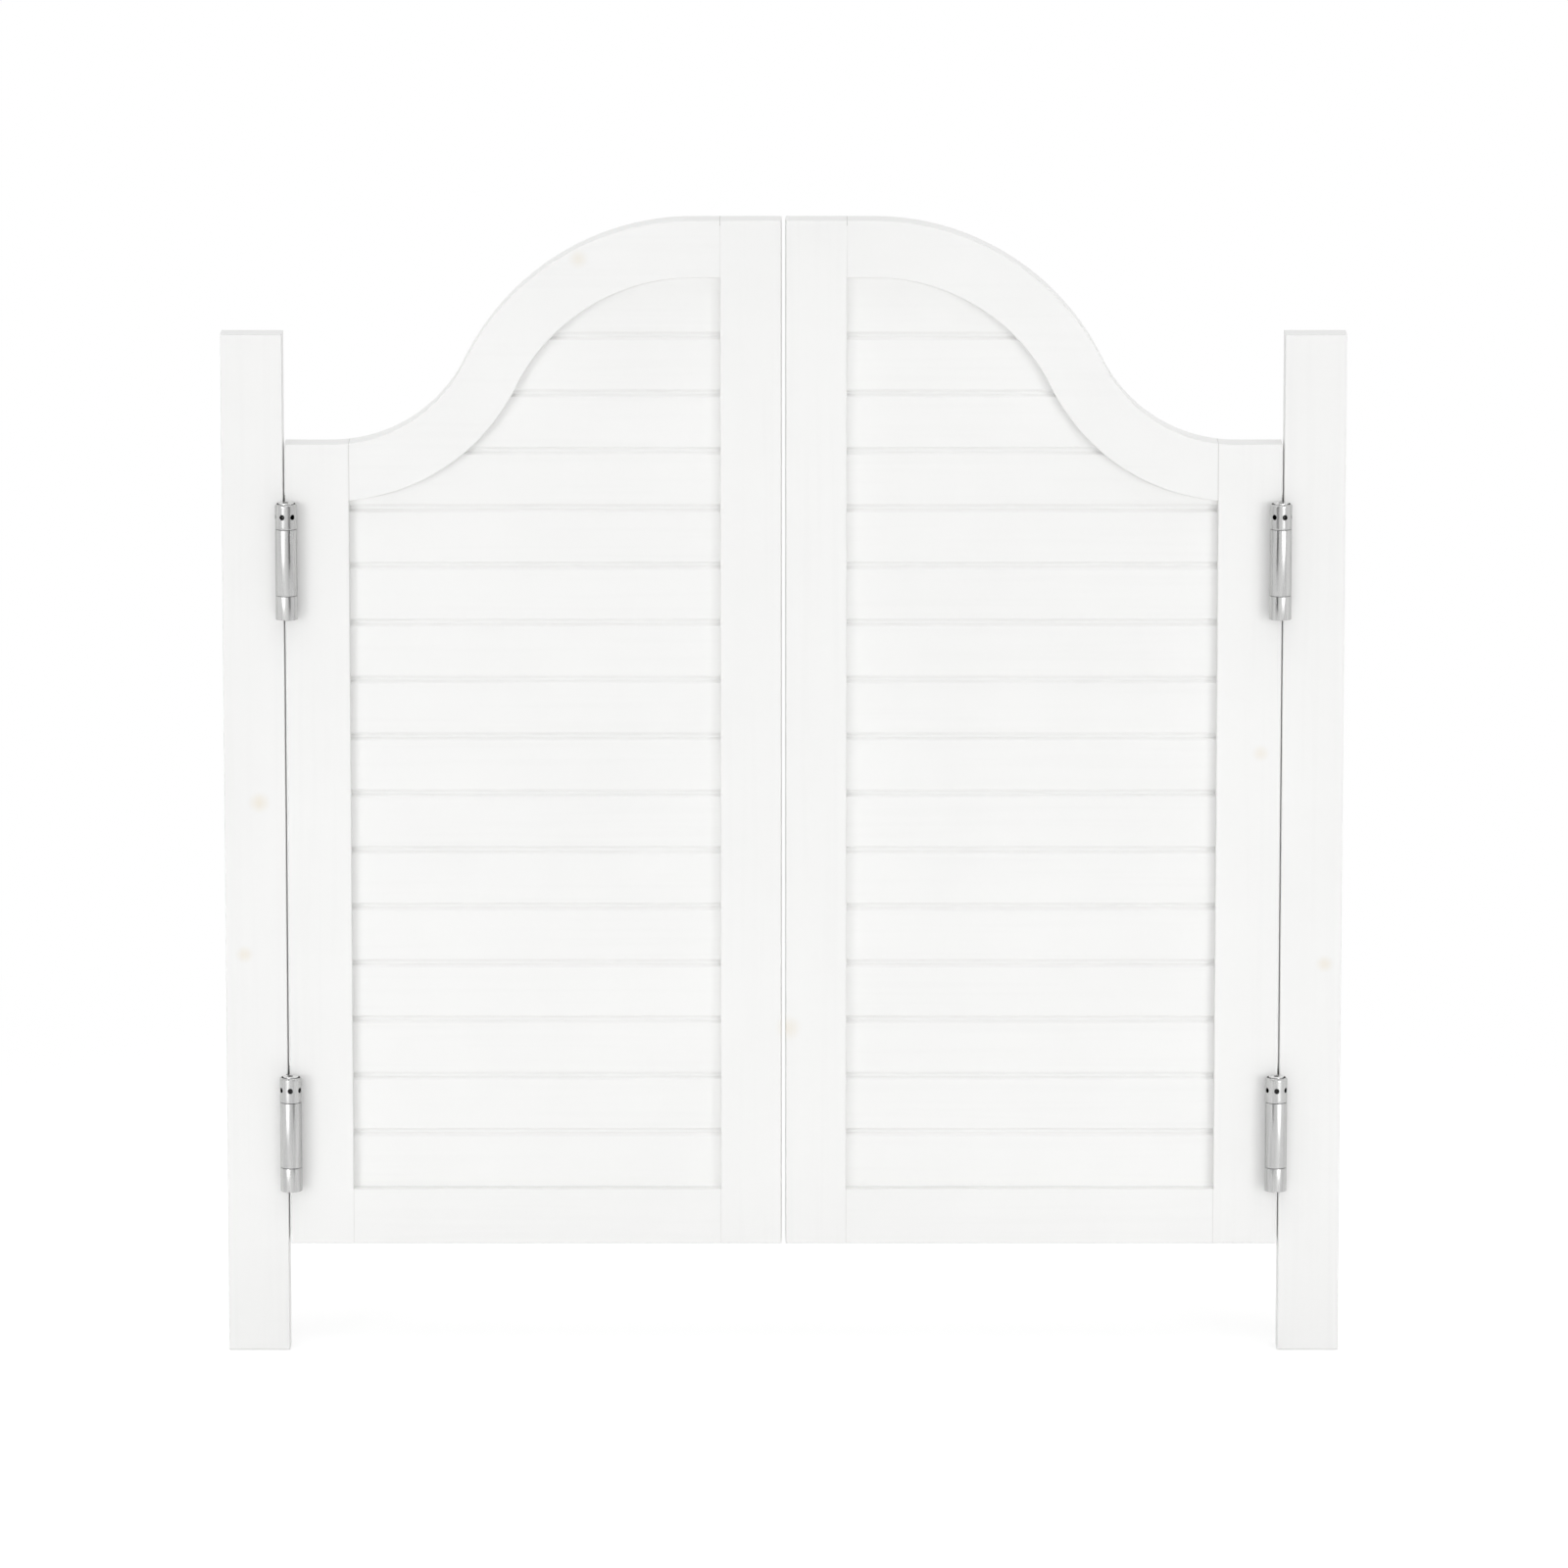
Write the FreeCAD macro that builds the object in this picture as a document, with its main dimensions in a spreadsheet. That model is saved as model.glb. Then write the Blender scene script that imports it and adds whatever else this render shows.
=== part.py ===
import FreeCAD, Part

import math
import os

import Sketcher

# A pair of cafe swinging doors between two wall posts.
#
# Frame: X runs across the opening, Y through it, Z up. The origin is midway between the posts,
# at the middle of their thickness and on the level of their feet. Sizes are in millimetres.
#
# Each door is a joined frame (hinge stile, meeting stile, bottom rail, arch rail) round a panel
# of level channel boards. It hangs on two double-action spring hinges: a jamb leaf and a door
# leaf, each with a knuckle, joined by a middle leaf that has a barrel at both of its edges.
# Only the left side is drawn. The right side is the left one turned half round about Z, so all
# four hinges are the same product and both doors are the same door.

# name: (value, what it is). Every size that can be chosen by itself is here, once.
SIZES = {
    "overall_width": (914, "outside of one post to the outside of the other"),
    "timber_thickness": (28, "thickness of posts and door frames, which lie flush"),
    "post_width": (50, "post, across the opening"),
    "post_rise": (90, "post top above the shoulder of the door"),
    "under_gap": (90, "clear height under the doors"),
    "side_gap": (1.6, "between a post and its door"),
    "meeting_gap": (2.9, "between the two doors, at the middle of their edges"),
    "swing_clearance": (0.1, "each side, as both doors swing the same way together"),
    "shoulder_height": (665, "bottom of a door to its low shoulder"),
    "crown_rise": (183.5, "shoulder to the crown at the meeting stile"),
    "shoulder_flat": (37.5, "level stretch from the hinge edge to the start of the curve"),
    "crown_flat": (72, "level stretch from the end of the curve to the meeting edge"),
    "shoulder_radius": (121, "hollow curve above the shoulder, outer edge"),
    "hinge_stile_width": (52, "stile that carries the hinges"),
    "meeting_stile_width": (50, "stile at the middle of the opening"),
    "arch_rail_width": (47, "curved top rail, square to its edge"),
    "bottom_rail_height": (46, "bottom rail"),
    "arris": (0.6, "flat taken off every worked edge of the timber"),
    "housing_depth": (8, "groove round the opening that holds the boards"),
    "housing_clearance": (0.1, "each side of a board or tenon in its groove"),
    "end_clearance": (0.5, "between the end of a board or tenon and the groove floor"),
    "tenon_stop": (12, "tenon held back from the outer edge of the frame"),
    "board_thickness": (10, "panel boards"),
    "channel_height": (2.5, "floor of the open channel between one board and the next"),
    "channel_depth": (2.4, "depth of that channel, on both faces"),
    "tongue_reach": (5, "tongue inside the groove of the board above"),
    "tongue_clearance": (0.15, "each side of a tongue in its groove"),
    "board_bevel": (2, "bevel on the edges of a board, the sloping sides of the channel"),
    "hinge_inset": (47, "end of the hinge stile to the nearer end of its hinge"),
    "hinge_height": (95, "hinge leaf and barrel"),
    "leaf_thickness": (1.2, "steel sheet of all hinge leaves"),
    "leaf_margin": (4, "timber left beyond the hinge leaf"),
    "mortise_clearance": (0.2, "round a leaf in its mortise"),
    "barrel_radius": (9, "outside of the hinge barrels"),
    "barrel_clearance": (1, "between a barrel and the face of the timber"),
    "barrel_shift": (2, "barrel axis from the middle of the side gap, towards the door"),
    "knuckle_height": (19.5, "fixed knuckle at the foot of each barrel"),
    "collar_height": (20.5, "tension collar at the head of each barrel"),
    "barrel_gap": (0.3, "between knuckle, barrel and collar"),
    "seam_width": (0.4, "closing seam of a rolled barrel"),
    "seam_angle": (69, "seam, in degrees from the outward side towards the door"),
    "pin_radius": (2.5, "hinge pin"),
    "bearing_clearance": (0.05, "all round a turning fit"),
    "spigot_height": (4, "spigots of knuckle and collar inside the barrel"),
    "rim_bevel": (1.2, "sloping shoulder at the top of a collar"),
    "rim_width": (0.2, "flat rim inside that shoulder"),
    "head_clearance": (1.3, "open ring round the riveted head of the pin, in its recess"),
    "head_thickness": (2, "the same head"),
    "head_rise": (0.8, "head above the rim of the collar"),
    "dimple_radius": (2.2, "centre dimple of the head"),
    "tommy_radius": (2.1, "six holes for the bar that tensions the spring"),
    "tommy_depth": (4, "the same holes"),
    "upper_collar_turn": (20, "degrees that the upper collars were turned when tensioned"),
    "spring_wire": (2, "wire of the coil spring"),
    "spring_clearance": (0.3, "between the coil and the barrel, and at its ends"),
    "screw_radius": (2, "wood screw shank"),
    "screw_head_radius": (3.8, "countersunk head"),
    "screw_length": (22, "below the leaf"),
    "screw_inset": (12, "end screws from the ends of the leaf"),
    "screw_stagger": (5, "screws either side of the middle of the leaf"),
    "screw_clearance": (0.05, "round a screw in leaf and timber"),
}
BOARD_COUNT = 16
TOMMY_HOLES = 6
# Lengths that leave no mark on a finished piece: how far a cut runs past the face that it starts
# from, in timber and in the small steel pieces, and how deep a tenon is rooted in its own rail.
OVERCUT = 5
SMALL_OVERCUT = 1
TENON_ROOT = 2

doc = FreeCAD.newDocument("CafeDoors")
sheet = doc.addObject("Spreadsheet::Sheet", "Sizes")
for row, (alias, (value, note)) in enumerate(SIZES.items(), start=1):
    sheet.set(f"A{row}", note)
    sheet.set(f"B{row}", str(value))
    sheet.setAlias(f"B{row}", alias)
doc.recompute()


class Size:
    """A length as a number, with the expression that ties it to the sheet."""

    def __init__(self, number, text):
        self.number = float(number)
        self.text = text

    def __add__(self, other):
        other = as_size(other)
        return Size(self.number + other.number, f"({self.text} + {other.text})")

    def __sub__(self, other):
        other = as_size(other)
        return Size(self.number - other.number, f"({self.text} - {other.text})")

    def __mul__(self, other):
        other = as_size(other)
        return Size(self.number * other.number, f"({self.text} * {other.text})")

    def __truediv__(self, other):
        other = as_size(other)
        return Size(self.number / other.number, f"({self.text} / {other.text})")

    def __neg__(self):
        return Size(-self.number, f"(0 - {self.text})")

    def root(self):
        return Size(math.sqrt(self.number), f"sqrt({self.text})")


def as_size(value):
    if isinstance(value, Size):
        return value
    return Size(value, f"({value})")


def given(alias):
    return Size(SIZES[alias][0], f"Sizes.{alias}")


NOUGHT = as_size(0)

# ---------------------------------------------------------------- places worked out once
half_timber = given("timber_thickness") / 2
post_outer = -given("overall_width") / 2
post_inner = post_outer + given("post_width")
hinge_edge = post_inner + given("side_gap")
meeting_edge = -given("meeting_gap") / 2
gap_middle = post_inner + given("side_gap") / 2
door_foot = given("under_gap")
shoulder = door_foot + given("shoulder_height")
crown = shoulder + given("crown_rise")
post_height = shoulder + given("post_rise")
stile_joint = hinge_edge + given("hinge_stile_width")
meeting_joint = meeting_edge - given("meeting_stile_width")
rail_top = door_foot + given("bottom_rail_height")

# The top edge is level, then a hollow arc, then a round arc tangent to it, then level again.
# The two radii add up to reach, the length of the line through both centres.
hollow_x = hinge_edge + given("shoulder_flat")
round_x = meeting_edge - given("crown_flat")
run = round_x - hollow_x
rise = given("crown_rise")
reach = (run * run + rise * rise) / (rise * 2)
hollow_centre = (hollow_x, shoulder + given("shoulder_radius"))
round_radius = reach - given("shoulder_radius")
round_centre = (round_x, crown - round_radius)
inner_hollow_radius = given("shoulder_radius") + given("arch_rail_width")
inner_round_radius = round_radius - given("arch_rail_width")
crown_inner = crown - given("arch_rail_width")

# Hinge axes, and the hinge's own frame: its origin is on the gap side, midway between the axes.
axis_x = gap_middle + given("barrel_shift")
axis_y = half_timber + given("barrel_clearance") + given("barrel_radius")
hinge_spacing = given("shoulder_height") - given("hinge_inset") * 2 - given("hinge_height")
lower_hinge = door_foot + given("hinge_inset")
upper_hinge = lower_hinge + hinge_spacing
jamb_face = post_inner - axis_x
door_face = hinge_edge - axis_x
leaf_far = half_timber - given("leaf_margin")
barrel_foot = given("knuckle_height") + given("barrel_gap")
collar_foot = given("hinge_height") - given("collar_height")
barrel_head = collar_foot - given("barrel_gap")
barrel_bore = given("barrel_radius") - given("leaf_thickness")
pin_bore = given("pin_radius") + given("bearing_clearance")
rim_radius = given("barrel_radius") - given("rim_bevel")
recess_radius = rim_radius - given("rim_width")
recess_depth = given("head_thickness") - given("head_rise")
head_radius = recess_radius - given("head_clearance")

# The far corner of a meeting edge swings out past the line of that edge by corner_reach. Where
# that is more than half the gap, the edge is planed back at both faces, in two flats.
swing_length = meeting_edge - axis_x
corner_offset = axis_y + half_timber
corner_reach = corner_offset * corner_offset / (swing_length * 2)
corner_relief = corner_reach + meeting_edge + given("swing_clearance")


# ---------------------------------------------------------------- drawing helpers
def origin_part(body, role):
    """One of the body's own origin planes or axes."""
    return next(part for part in body.Origin.OriginFeatures if part.Role == role)


def new_body(name):
    return doc.addObject("PartDesign::Body", name)


def pin_point(sketch, element, end, corner, tag):
    """Holds a point of the sketch at a corner given by two sizes."""
    for kind, size in zip(("DistanceX", "DistanceY"), corner):
        index = sketch.addConstraint(Sketcher.Constraint(kind, element, end, size.number))
        sketch.renameConstraint(index, f"{tag}_{kind[-1].lower()}")
        sketch.setExpression(f"Constraints.{tag}_{kind[-1].lower()}", size.text)


def set_radius(sketch, element, radius, tag):
    index = sketch.addConstraint(Sketcher.Constraint("Radius", element, radius.number))
    sketch.renameConstraint(index, f"{tag}_radius")
    sketch.setExpression(f"Constraints.{tag}_radius", radius.text)


def vector(corner):
    return FreeCAD.Vector(corner[0].number, corner[1].number, 0)


def add_loop(sketch, corners, arcs=None):
    """A closed loop. arcs gives (centre, radius) for the edges that are arcs, by start corner."""
    arcs = arcs or {}
    first = sketch.GeometryCount
    tag = f"loop{first}"
    count = len(corners)
    for number, corner in enumerate(corners):
        start = vector(corner)
        end = vector(corners[(number + 1) % count])
        if number in arcs:
            centre, radius = vector(arcs[number][0]), arcs[number][1]
            outward = (start + end) * 0.5 - centre
            middle = centre + outward.normalize() * radius.number
            sketch.addGeometry(Part.Arc(start, middle, end))
        else:
            sketch.addGeometry(Part.LineSegment(start, end))
    for number in range(count):
        following = first + (number + 1) % count
        ends = sketch_ends(sketch, first + number, vector(corners[(number + 1) % count]))
        starts = sketch_ends(sketch, following, vector(corners[(number + 1) % count]))
        sketch.addConstraint(
            Sketcher.Constraint("Coincident", first + number, ends, following, starts)
        )
    for number, corner in enumerate(corners):
        start = sketch_ends(sketch, first + number, vector(corner))
        pin_point(sketch, first + number, start, corner, f"{tag}_{number}")
        if number in arcs:
            set_radius(sketch, first + number, arcs[number][1], f"{tag}_{number}")


def sketch_ends(sketch, element, point):
    """Which end of the element, 1 or 2, lies at the point. An arc always runs anticlockwise."""
    first = sketch.getPoint(element, 1)
    second = sketch.getPoint(element, 2)
    return 1 if first.distanceToPoint(point) < second.distanceToPoint(point) else 2


def add_circle(sketch, centre, radius):
    element = sketch.addGeometry(
        Part.Circle(vector(centre), FreeCAD.Vector(0, 0, 1), radius.number)
    )
    pin_point(sketch, element, 3, centre, f"circle{element}")
    set_radius(sketch, element, radius, f"circle{element}")


def new_sketch(body, name, plane, at=None, origin=None):
    """A sketch on one of the body's planes, moved along its normal by at, and in it to origin."""
    sketch = body.newObject("Sketcher::SketchObject", name)
    sketch.AttachmentSupport = [(origin_part(body, plane), "")]
    sketch.MapMode = "FlatFace"
    if at is not None:
        sketch.setExpression("AttachmentOffset.Base.z", at.text)
    if origin is not None:
        sketch.setExpression("AttachmentOffset.Base.x", origin[0].text)
        sketch.setExpression("AttachmentOffset.Base.y", origin[1].text)
    return sketch


def pad(body, name, sketch, length, side="One side"):
    feature = body.newObject("PartDesign::Pad", name)
    feature.Profile = sketch
    feature.SideType = side
    feature.setExpression("Length", length.text)
    sketch.Visibility = False
    doc.recompute()
    return feature


def cut_away(body, kind, name, sketch, settings, length=None):
    """A Pocket or Groove, refused if it takes nothing away."""
    before = body.Shape.Volume
    feature = body.newObject(kind, name)
    feature.Profile = sketch
    for key, value in settings.items():
        setattr(feature, key, value)
    if length is not None:
        feature.setExpression("Length", length.text)
    doc.recompute()
    if body.Shape.Volume > before - 0.01:
        raise RuntimeError(f"{name} takes nothing away from {body.Label}")
    return feature


def pocket(body, name, sketch, length=None, **settings):
    if length is None:
        settings["Type"] = "ThroughAll"
    return cut_away(body, "PartDesign::Pocket", name, sketch, settings, length)


def revolve(body, name, sketch):
    """Turns the sketch about its own vertical axis."""
    feature = body.newObject("PartDesign::Revolution", name)
    feature.Profile = sketch
    feature.ReferenceAxis = (sketch, ["V_Axis"])
    feature.Angle = 360
    doc.recompute()
    return feature


def repeat_up(body, feature, spacing):
    """Repeats a feature once more, higher up by spacing."""
    before = body.Shape.Volume
    pattern = body.newObject("PartDesign::LinearPattern", f"{feature.Name}_upper")
    pattern.Originals = [feature]
    pattern.Direction = (origin_part(body, "Z_Axis"), [""])
    pattern.setExpression("Length", spacing.text)
    pattern.Occurrences = 2
    body.Tip = pattern
    doc.recompute()
    if body.Shape.Volume > before - 0.01:
        raise RuntimeError(f"{feature.Name} isn't repeated on {body.Label}")


def chamfer_faces(body, name, size):
    """Takes the arris off every edge that lies in the front or back face."""
    base = body.Tip
    face_y = half_timber.number
    chosen = [
        f"Edge{number}"
        for number, edge in enumerate(base.Shape.Edges, start=1)
        if abs(abs(edge.BoundBox.YMin) - face_y) < 1e-4 and edge.BoundBox.YLength < 1e-4
    ]
    feature = body.newObject("PartDesign::Chamfer", name)
    feature.Base = (base, chosen)
    feature.setExpression("Size", size.text)
    doc.recompute()


def box(name, low, high):
    """A box between two corners."""
    block = doc.addObject("Part::Box", name)
    for side, axis, near, far in zip(("Length", "Width", "Height"), "xyz", low, high):
        block.setExpression(side, (far - near).text)
        block.setExpression(f"Placement.Base.{axis}", near.text)
    return block


def common(name, base, tool):
    result = doc.addObject("Part::Common", name)
    result.Base = base
    result.Tool = tool
    return result


def cut(name, base, tools):
    result = doc.addObject("Part::Cut", name)
    result.Base = base
    result.Tool = join(f"{name}_tools", tools)
    return result


def join(name, shapes):
    result = doc.addObject("Part::MultiFuse", name)
    result.Shapes = shapes
    return result


def placed_copy(name, source, corner=(NOUGHT, NOUGHT, NOUGHT), turn=NOUGHT):
    """A link to the source, turned about Z and moved to the corner."""
    copy = doc.addObject("App::Link", name)
    copy.LinkedObject = source
    copy.Placement.Rotation = FreeCAD.Rotation(FreeCAD.Vector(0, 0, 1), turn.number)
    for axis, size in zip("xyz", corner):
        copy.setExpression(f"Placement.Base.{axis}", size.text)
    copy.setExpression("Placement.Rotation.Angle", turn.text)
    return copy


def group(name, copies):
    result = doc.addObject("Part::Compound", name)
    result.Links = copies
    return result


# ---------------------------------------------------------------- posts
def cut_leaf_seats(body, face, depth_sign, entry):
    """Mortises and screw holes for one leaf of both hinges, in a face that looks along X.

    entry is -1 where the leaf comes in over the front edge, and 1 over the back edge.
    """
    slack = given("mortise_clearance")
    far = (leaf_far + slack) * (-entry)
    open_side = (half_timber + OVERCUT) * entry
    low = lower_hinge - slack
    high = lower_hinge + given("hinge_height") + slack
    reversed_cut = depth_sign > 0
    seat = new_sketch(body, "seat_outline", "YZ_Plane", at=face)
    add_loop(seat, [(far, low), (open_side, low), (open_side, high), (far, high)])
    mortise = pocket(body, "mortise", seat, given("leaf_thickness"), Reversed=reversed_cut)
    repeat_up(body, mortise, hinge_spacing)
    holes = new_sketch(body, "screw_hole_centres", "YZ_Plane", at=face)
    for across, up in screw_places(entry):
        add_circle(
            holes,
            (across, lower_hinge + up),
            given("screw_radius") + given("screw_clearance"),
        )
    depth = given("leaf_thickness") + given("screw_length") + given("end_clearance")
    drilled = pocket(body, "screw_holes", holes, depth, Reversed=reversed_cut)
    repeat_up(body, drilled, hinge_spacing)


def screw_places(entry):
    """Three screws in a zigzag: (y, height above the foot of the leaf)."""
    middle = (half_timber - leaf_far) * entry / 2
    stagger = given("screw_stagger") * entry
    inset = given("screw_inset")
    return [
        (middle - stagger, inset),
        (middle + stagger, given("hinge_height") / 2),
        (middle - stagger, given("hinge_height") - inset),
    ]


def make_post():
    """A square-edged post, let in for the jamb leaves on its inner face."""
    body = new_body("left_post")
    outline = new_sketch(body, "plan", "XY_Plane")
    add_loop(
        outline,
        [
            (post_outer, -half_timber),
            (post_inner, -half_timber),
            (post_inner, half_timber),
            (post_outer, half_timber),
        ],
    )
    pad(body, "length", outline, post_height)
    chamfer_faces(body, "eased_edges", given("arris"))
    cut_leaf_seats(body, post_inner, -1, -1)
    return body


# ---------------------------------------------------------------- door frame
def opening_outline(offset):
    """The panel opening, grown by offset into the frame all round: corners and arcs."""
    left = stile_joint - offset
    right = meeting_joint + offset
    foot = rail_top - offset
    head = crown_inner + offset
    hollow_radius = inner_hollow_radius - offset
    share = hollow_radius / reach
    turn = (
        hollow_centre[0] + (round_centre[0] - hollow_centre[0]) * share,
        hollow_centre[1] + (round_centre[1] - hollow_centre[1]) * share,
    )
    over = left - hollow_x
    spring = hollow_centre[1] - (hollow_radius * hollow_radius - over * over).root()
    corners = [
        (left, foot),
        (right, foot),
        (right, head),
        (round_x, head),
        turn,
        (left, spring),
    ]
    arcs = {
        3: (round_centre, inner_round_radius + offset),
        4: (hollow_centre, hollow_radius),
    }
    return corners, arcs


def make_door_frame():
    """The whole frame in one, before it is parted into its stiles and rails."""
    body = new_body("door_frame")
    share = given("shoulder_radius") / reach
    turn = (
        hollow_centre[0] + (round_centre[0] - hollow_centre[0]) * share,
        hollow_centre[1] + (round_centre[1] - hollow_centre[1]) * share,
    )
    face = new_sketch(body, "outer_outline", "XZ_Plane")
    add_loop(
        face,
        [
            (hinge_edge, door_foot),
            (meeting_edge, door_foot),
            (meeting_edge, crown),
            (round_x, crown),
            turn,
            (hollow_x, shoulder),
            (hinge_edge, shoulder),
        ],
        {
            3: (round_centre, round_radius),
            4: (hollow_centre, given("shoulder_radius")),
        },
    )
    thickness = given("timber_thickness")
    pad(body, "thickness", face, thickness, "Symmetric")

    planed = new_sketch(body, "meeting_edge_flats", "XY_Plane")
    beyond = meeting_edge + OVERCUT
    add_loop(
        planed,
        [
            (meeting_edge - corner_relief, -half_timber),
            (beyond, -half_timber),
            (beyond, half_timber),
            (meeting_edge - corner_relief, half_timber),
            (meeting_edge, NOUGHT),
        ],
    )
    pocket(body, "planed_edge", planed, crown + OVERCUT, Reversed=True)

    opening = new_sketch(body, "opening", "XZ_Plane")
    add_loop(opening, *opening_outline(NOUGHT))
    pocket(body, "panel_opening", opening, thickness, SideType="Symmetric")
    chamfer_faces(body, "eased_edges", given("arris"))

    groove = new_sketch(body, "housing", "XZ_Plane")
    add_loop(groove, *opening_outline(given("housing_depth")))
    width = given("board_thickness") + given("housing_clearance") * 2
    pocket(body, "housing_groove", groove, width, SideType="Symmetric")
    cut_leaf_seats(body, hinge_edge, 1, 1)
    return body


def tenon_spaces():
    """Foot and head of the four stub tenons, as (joint, direction, foot, head)."""
    stop = given("tenon_stop")
    depth = given("housing_depth")
    corners, _ = opening_outline(depth)
    spring = corners[5][1]
    return {
        "hinge_foot": (stile_joint, -1, door_foot + stop, rail_top - depth),
        "hinge_head": (stile_joint, -1, spring, shoulder - stop),
        "meeting_foot": (meeting_joint, 1, door_foot + stop, rail_top - depth),
        "meeting_head": (meeting_joint, 1, crown_inner + depth, crown - stop),
    }


def tenon_block(name, space, is_socket):
    """A stub tenon, or its socket with the clearances added. Both start inside their own part."""
    joint, direction, foot, head = space
    half = given("board_thickness") / 2
    length = given("housing_depth")
    lap = as_size(TENON_ROOT)
    if is_socket:
        half = half + given("housing_clearance")
        foot = foot - given("end_clearance")
        head = head + given("end_clearance")
        lap = NOUGHT
    else:
        length = length - given("end_clearance")
        foot = foot + given("end_clearance")
    near = joint - lap * direction
    far = joint + length * direction
    low_x, high_x = (far, near) if direction < 0 else (near, far)
    return box(name, (low_x, -half, foot), (high_x, half, head))


def part_frame(frame):
    """Parts the door frame into its four members, with a stub tenon at each joint."""
    spaces = tenon_spaces()
    tenons = {key: tenon_block(f"{key}_tenon", space, False) for key, space in spaces.items()}
    sockets = {key: tenon_block(f"{key}_socket", space, True) for key, space in spaces.items()}
    front = -half_timber - OVERCUT
    back = half_timber + OVERCUT
    below = door_foot - OVERCUT
    above = crown + OVERCUT
    stile_zone = box(
        "hinge_stile_zone", (hinge_edge - OVERCUT, front, below), (stile_joint, back, above)
    )
    meeting_zone = box(
        "meeting_stile_zone", (meeting_joint, front, below), (as_size(OVERCUT), back, above)
    )
    foot_zone = box(
        "bottom_rail_zone", (stile_joint, front, below), (meeting_joint, back, rail_top)
    )
    head_zone = box(
        "arch_rail_zone", (stile_joint, front, rail_top), (meeting_joint, back, above)
    )
    hinge_stile = cut(
        "left_hinge_stile",
        common("hinge_stile_blank", frame, stile_zone),
        [sockets["hinge_foot"], sockets["hinge_head"]],
    )
    meeting_stile = cut(
        "left_meeting_stile",
        common("meeting_stile_blank", frame, meeting_zone),
        [sockets["meeting_foot"], sockets["meeting_head"]],
    )
    bottom_rail = join(
        "left_bottom_rail",
        [
            common("bottom_rail_blank", frame, foot_zone),
            tenons["hinge_foot"],
            tenons["meeting_foot"],
        ],
    )
    arch_rail = join(
        "left_arch_rail",
        [
            common("arch_rail_blank", frame, head_zone),
            tenons["hinge_head"],
            tenons["meeting_head"],
        ],
    )
    return [hinge_stile, meeting_stile, bottom_rail, arch_rail]


# ---------------------------------------------------------------- panel boards
def board_profile(number):
    """Half of a board's section, from its groove round to its tongue, as (y, z) corners."""
    pitch = (crown_inner - rail_top) / BOARD_COUNT
    half = given("board_thickness") / 2
    tongue = half - given("channel_depth")
    slot = tongue + given("tongue_clearance")
    foot = rail_top + pitch * (number - 1)
    head = foot + pitch - given("channel_height")
    bevel = given("board_bevel")
    if number == 1:
        lower = [(half, rail_top - given("housing_depth"))]
    else:
        slot_head = foot + given("tongue_reach") + given("end_clearance")
        lower = [(slot, slot_head), (slot, foot), (half - bevel, foot), (half, foot + bevel)]
    if number == BOARD_COUNT:
        upper = [(half, crown_inner + given("housing_depth"))]
    else:
        tongue_head = head + given("channel_height") + given("tongue_reach")
        upper = [
            (half, head - bevel),
            (half - bevel, head),
            (tongue, head),
            (tongue, tongue_head),
        ]
    return lower + upper


def make_boards():
    """Tongued boards with an open channel between them, cut to the shape of the opening."""
    panel = new_body("panel_shape")
    edge = new_sketch(panel, "panel_edge", "XZ_Plane")
    add_loop(edge, *opening_outline(given("housing_depth") - given("end_clearance")))
    pad(panel, "panel_space", edge, given("board_thickness") + OVERCUT, "Symmetric")
    boards = []
    for number in range(1, BOARD_COUNT + 1):
        half_section = board_profile(number)
        other_half = [(-across, up) for across, up in reversed(half_section)]
        body = new_body(f"board_blank_{number:02d}")
        start = stile_joint - given("housing_depth")
        section = new_sketch(body, "section", "YZ_Plane", at=start)
        add_loop(section, half_section + other_half)
        length = meeting_joint - stile_joint + given("housing_depth") * 2
        pad(body, "length", section, length)
        boards.append(common(f"left_board_{number:02d}", body, panel))
    return boards


# ---------------------------------------------------------------- hinge pieces, in the hinge's frame
def make_leaf(name, gap_face, sheet_side, entry):
    """A leaf in its mortise, with the knuckle that stands at the foot of its barrel.

    gap_face is the face level with the timber, sheet_side the way in from it along X, and
    entry the side, -1 front or 1 back, on which its barrel stands.
    """
    body = new_body(name)
    thickness = given("leaf_thickness") * sheet_side
    face = half_timber * entry
    far = leaf_far * (-entry)
    outline = new_sketch(body, "leaf_outline", "YZ_Plane", at=gap_face)
    neck = axis_y * entry - given("barrel_radius") * entry / 2
    add_loop(
        outline,
        [
            (far, NOUGHT),
            (neck, NOUGHT),
            (neck, given("knuckle_height")),
            (face, given("knuckle_height")),
            (face, given("hinge_height")),
            (far, given("hinge_height")),
        ],
    )
    sheet_pad = pad(body, "sheet", outline, given("leaf_thickness"))
    sheet_pad.Reversed = sheet_side < 0
    knuckle = new_sketch(body, "knuckle_profile", "XZ_Plane", at=-axis_y * entry)
    spigot = barrel_bore - given("bearing_clearance")
    spigot_head = barrel_foot + given("spigot_height")
    add_loop(
        knuckle,
        [
            (pin_bore, NOUGHT),
            (given("barrel_radius"), NOUGHT),
            (given("barrel_radius"), given("knuckle_height")),
            (spigot, given("knuckle_height")),
            (spigot, spigot_head),
            (pin_bore, spigot_head),
        ],
    )
    revolve(body, "knuckle", knuckle)
    countersink(body, gap_face, sheet_side, entry, thickness)
    return body


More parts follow.
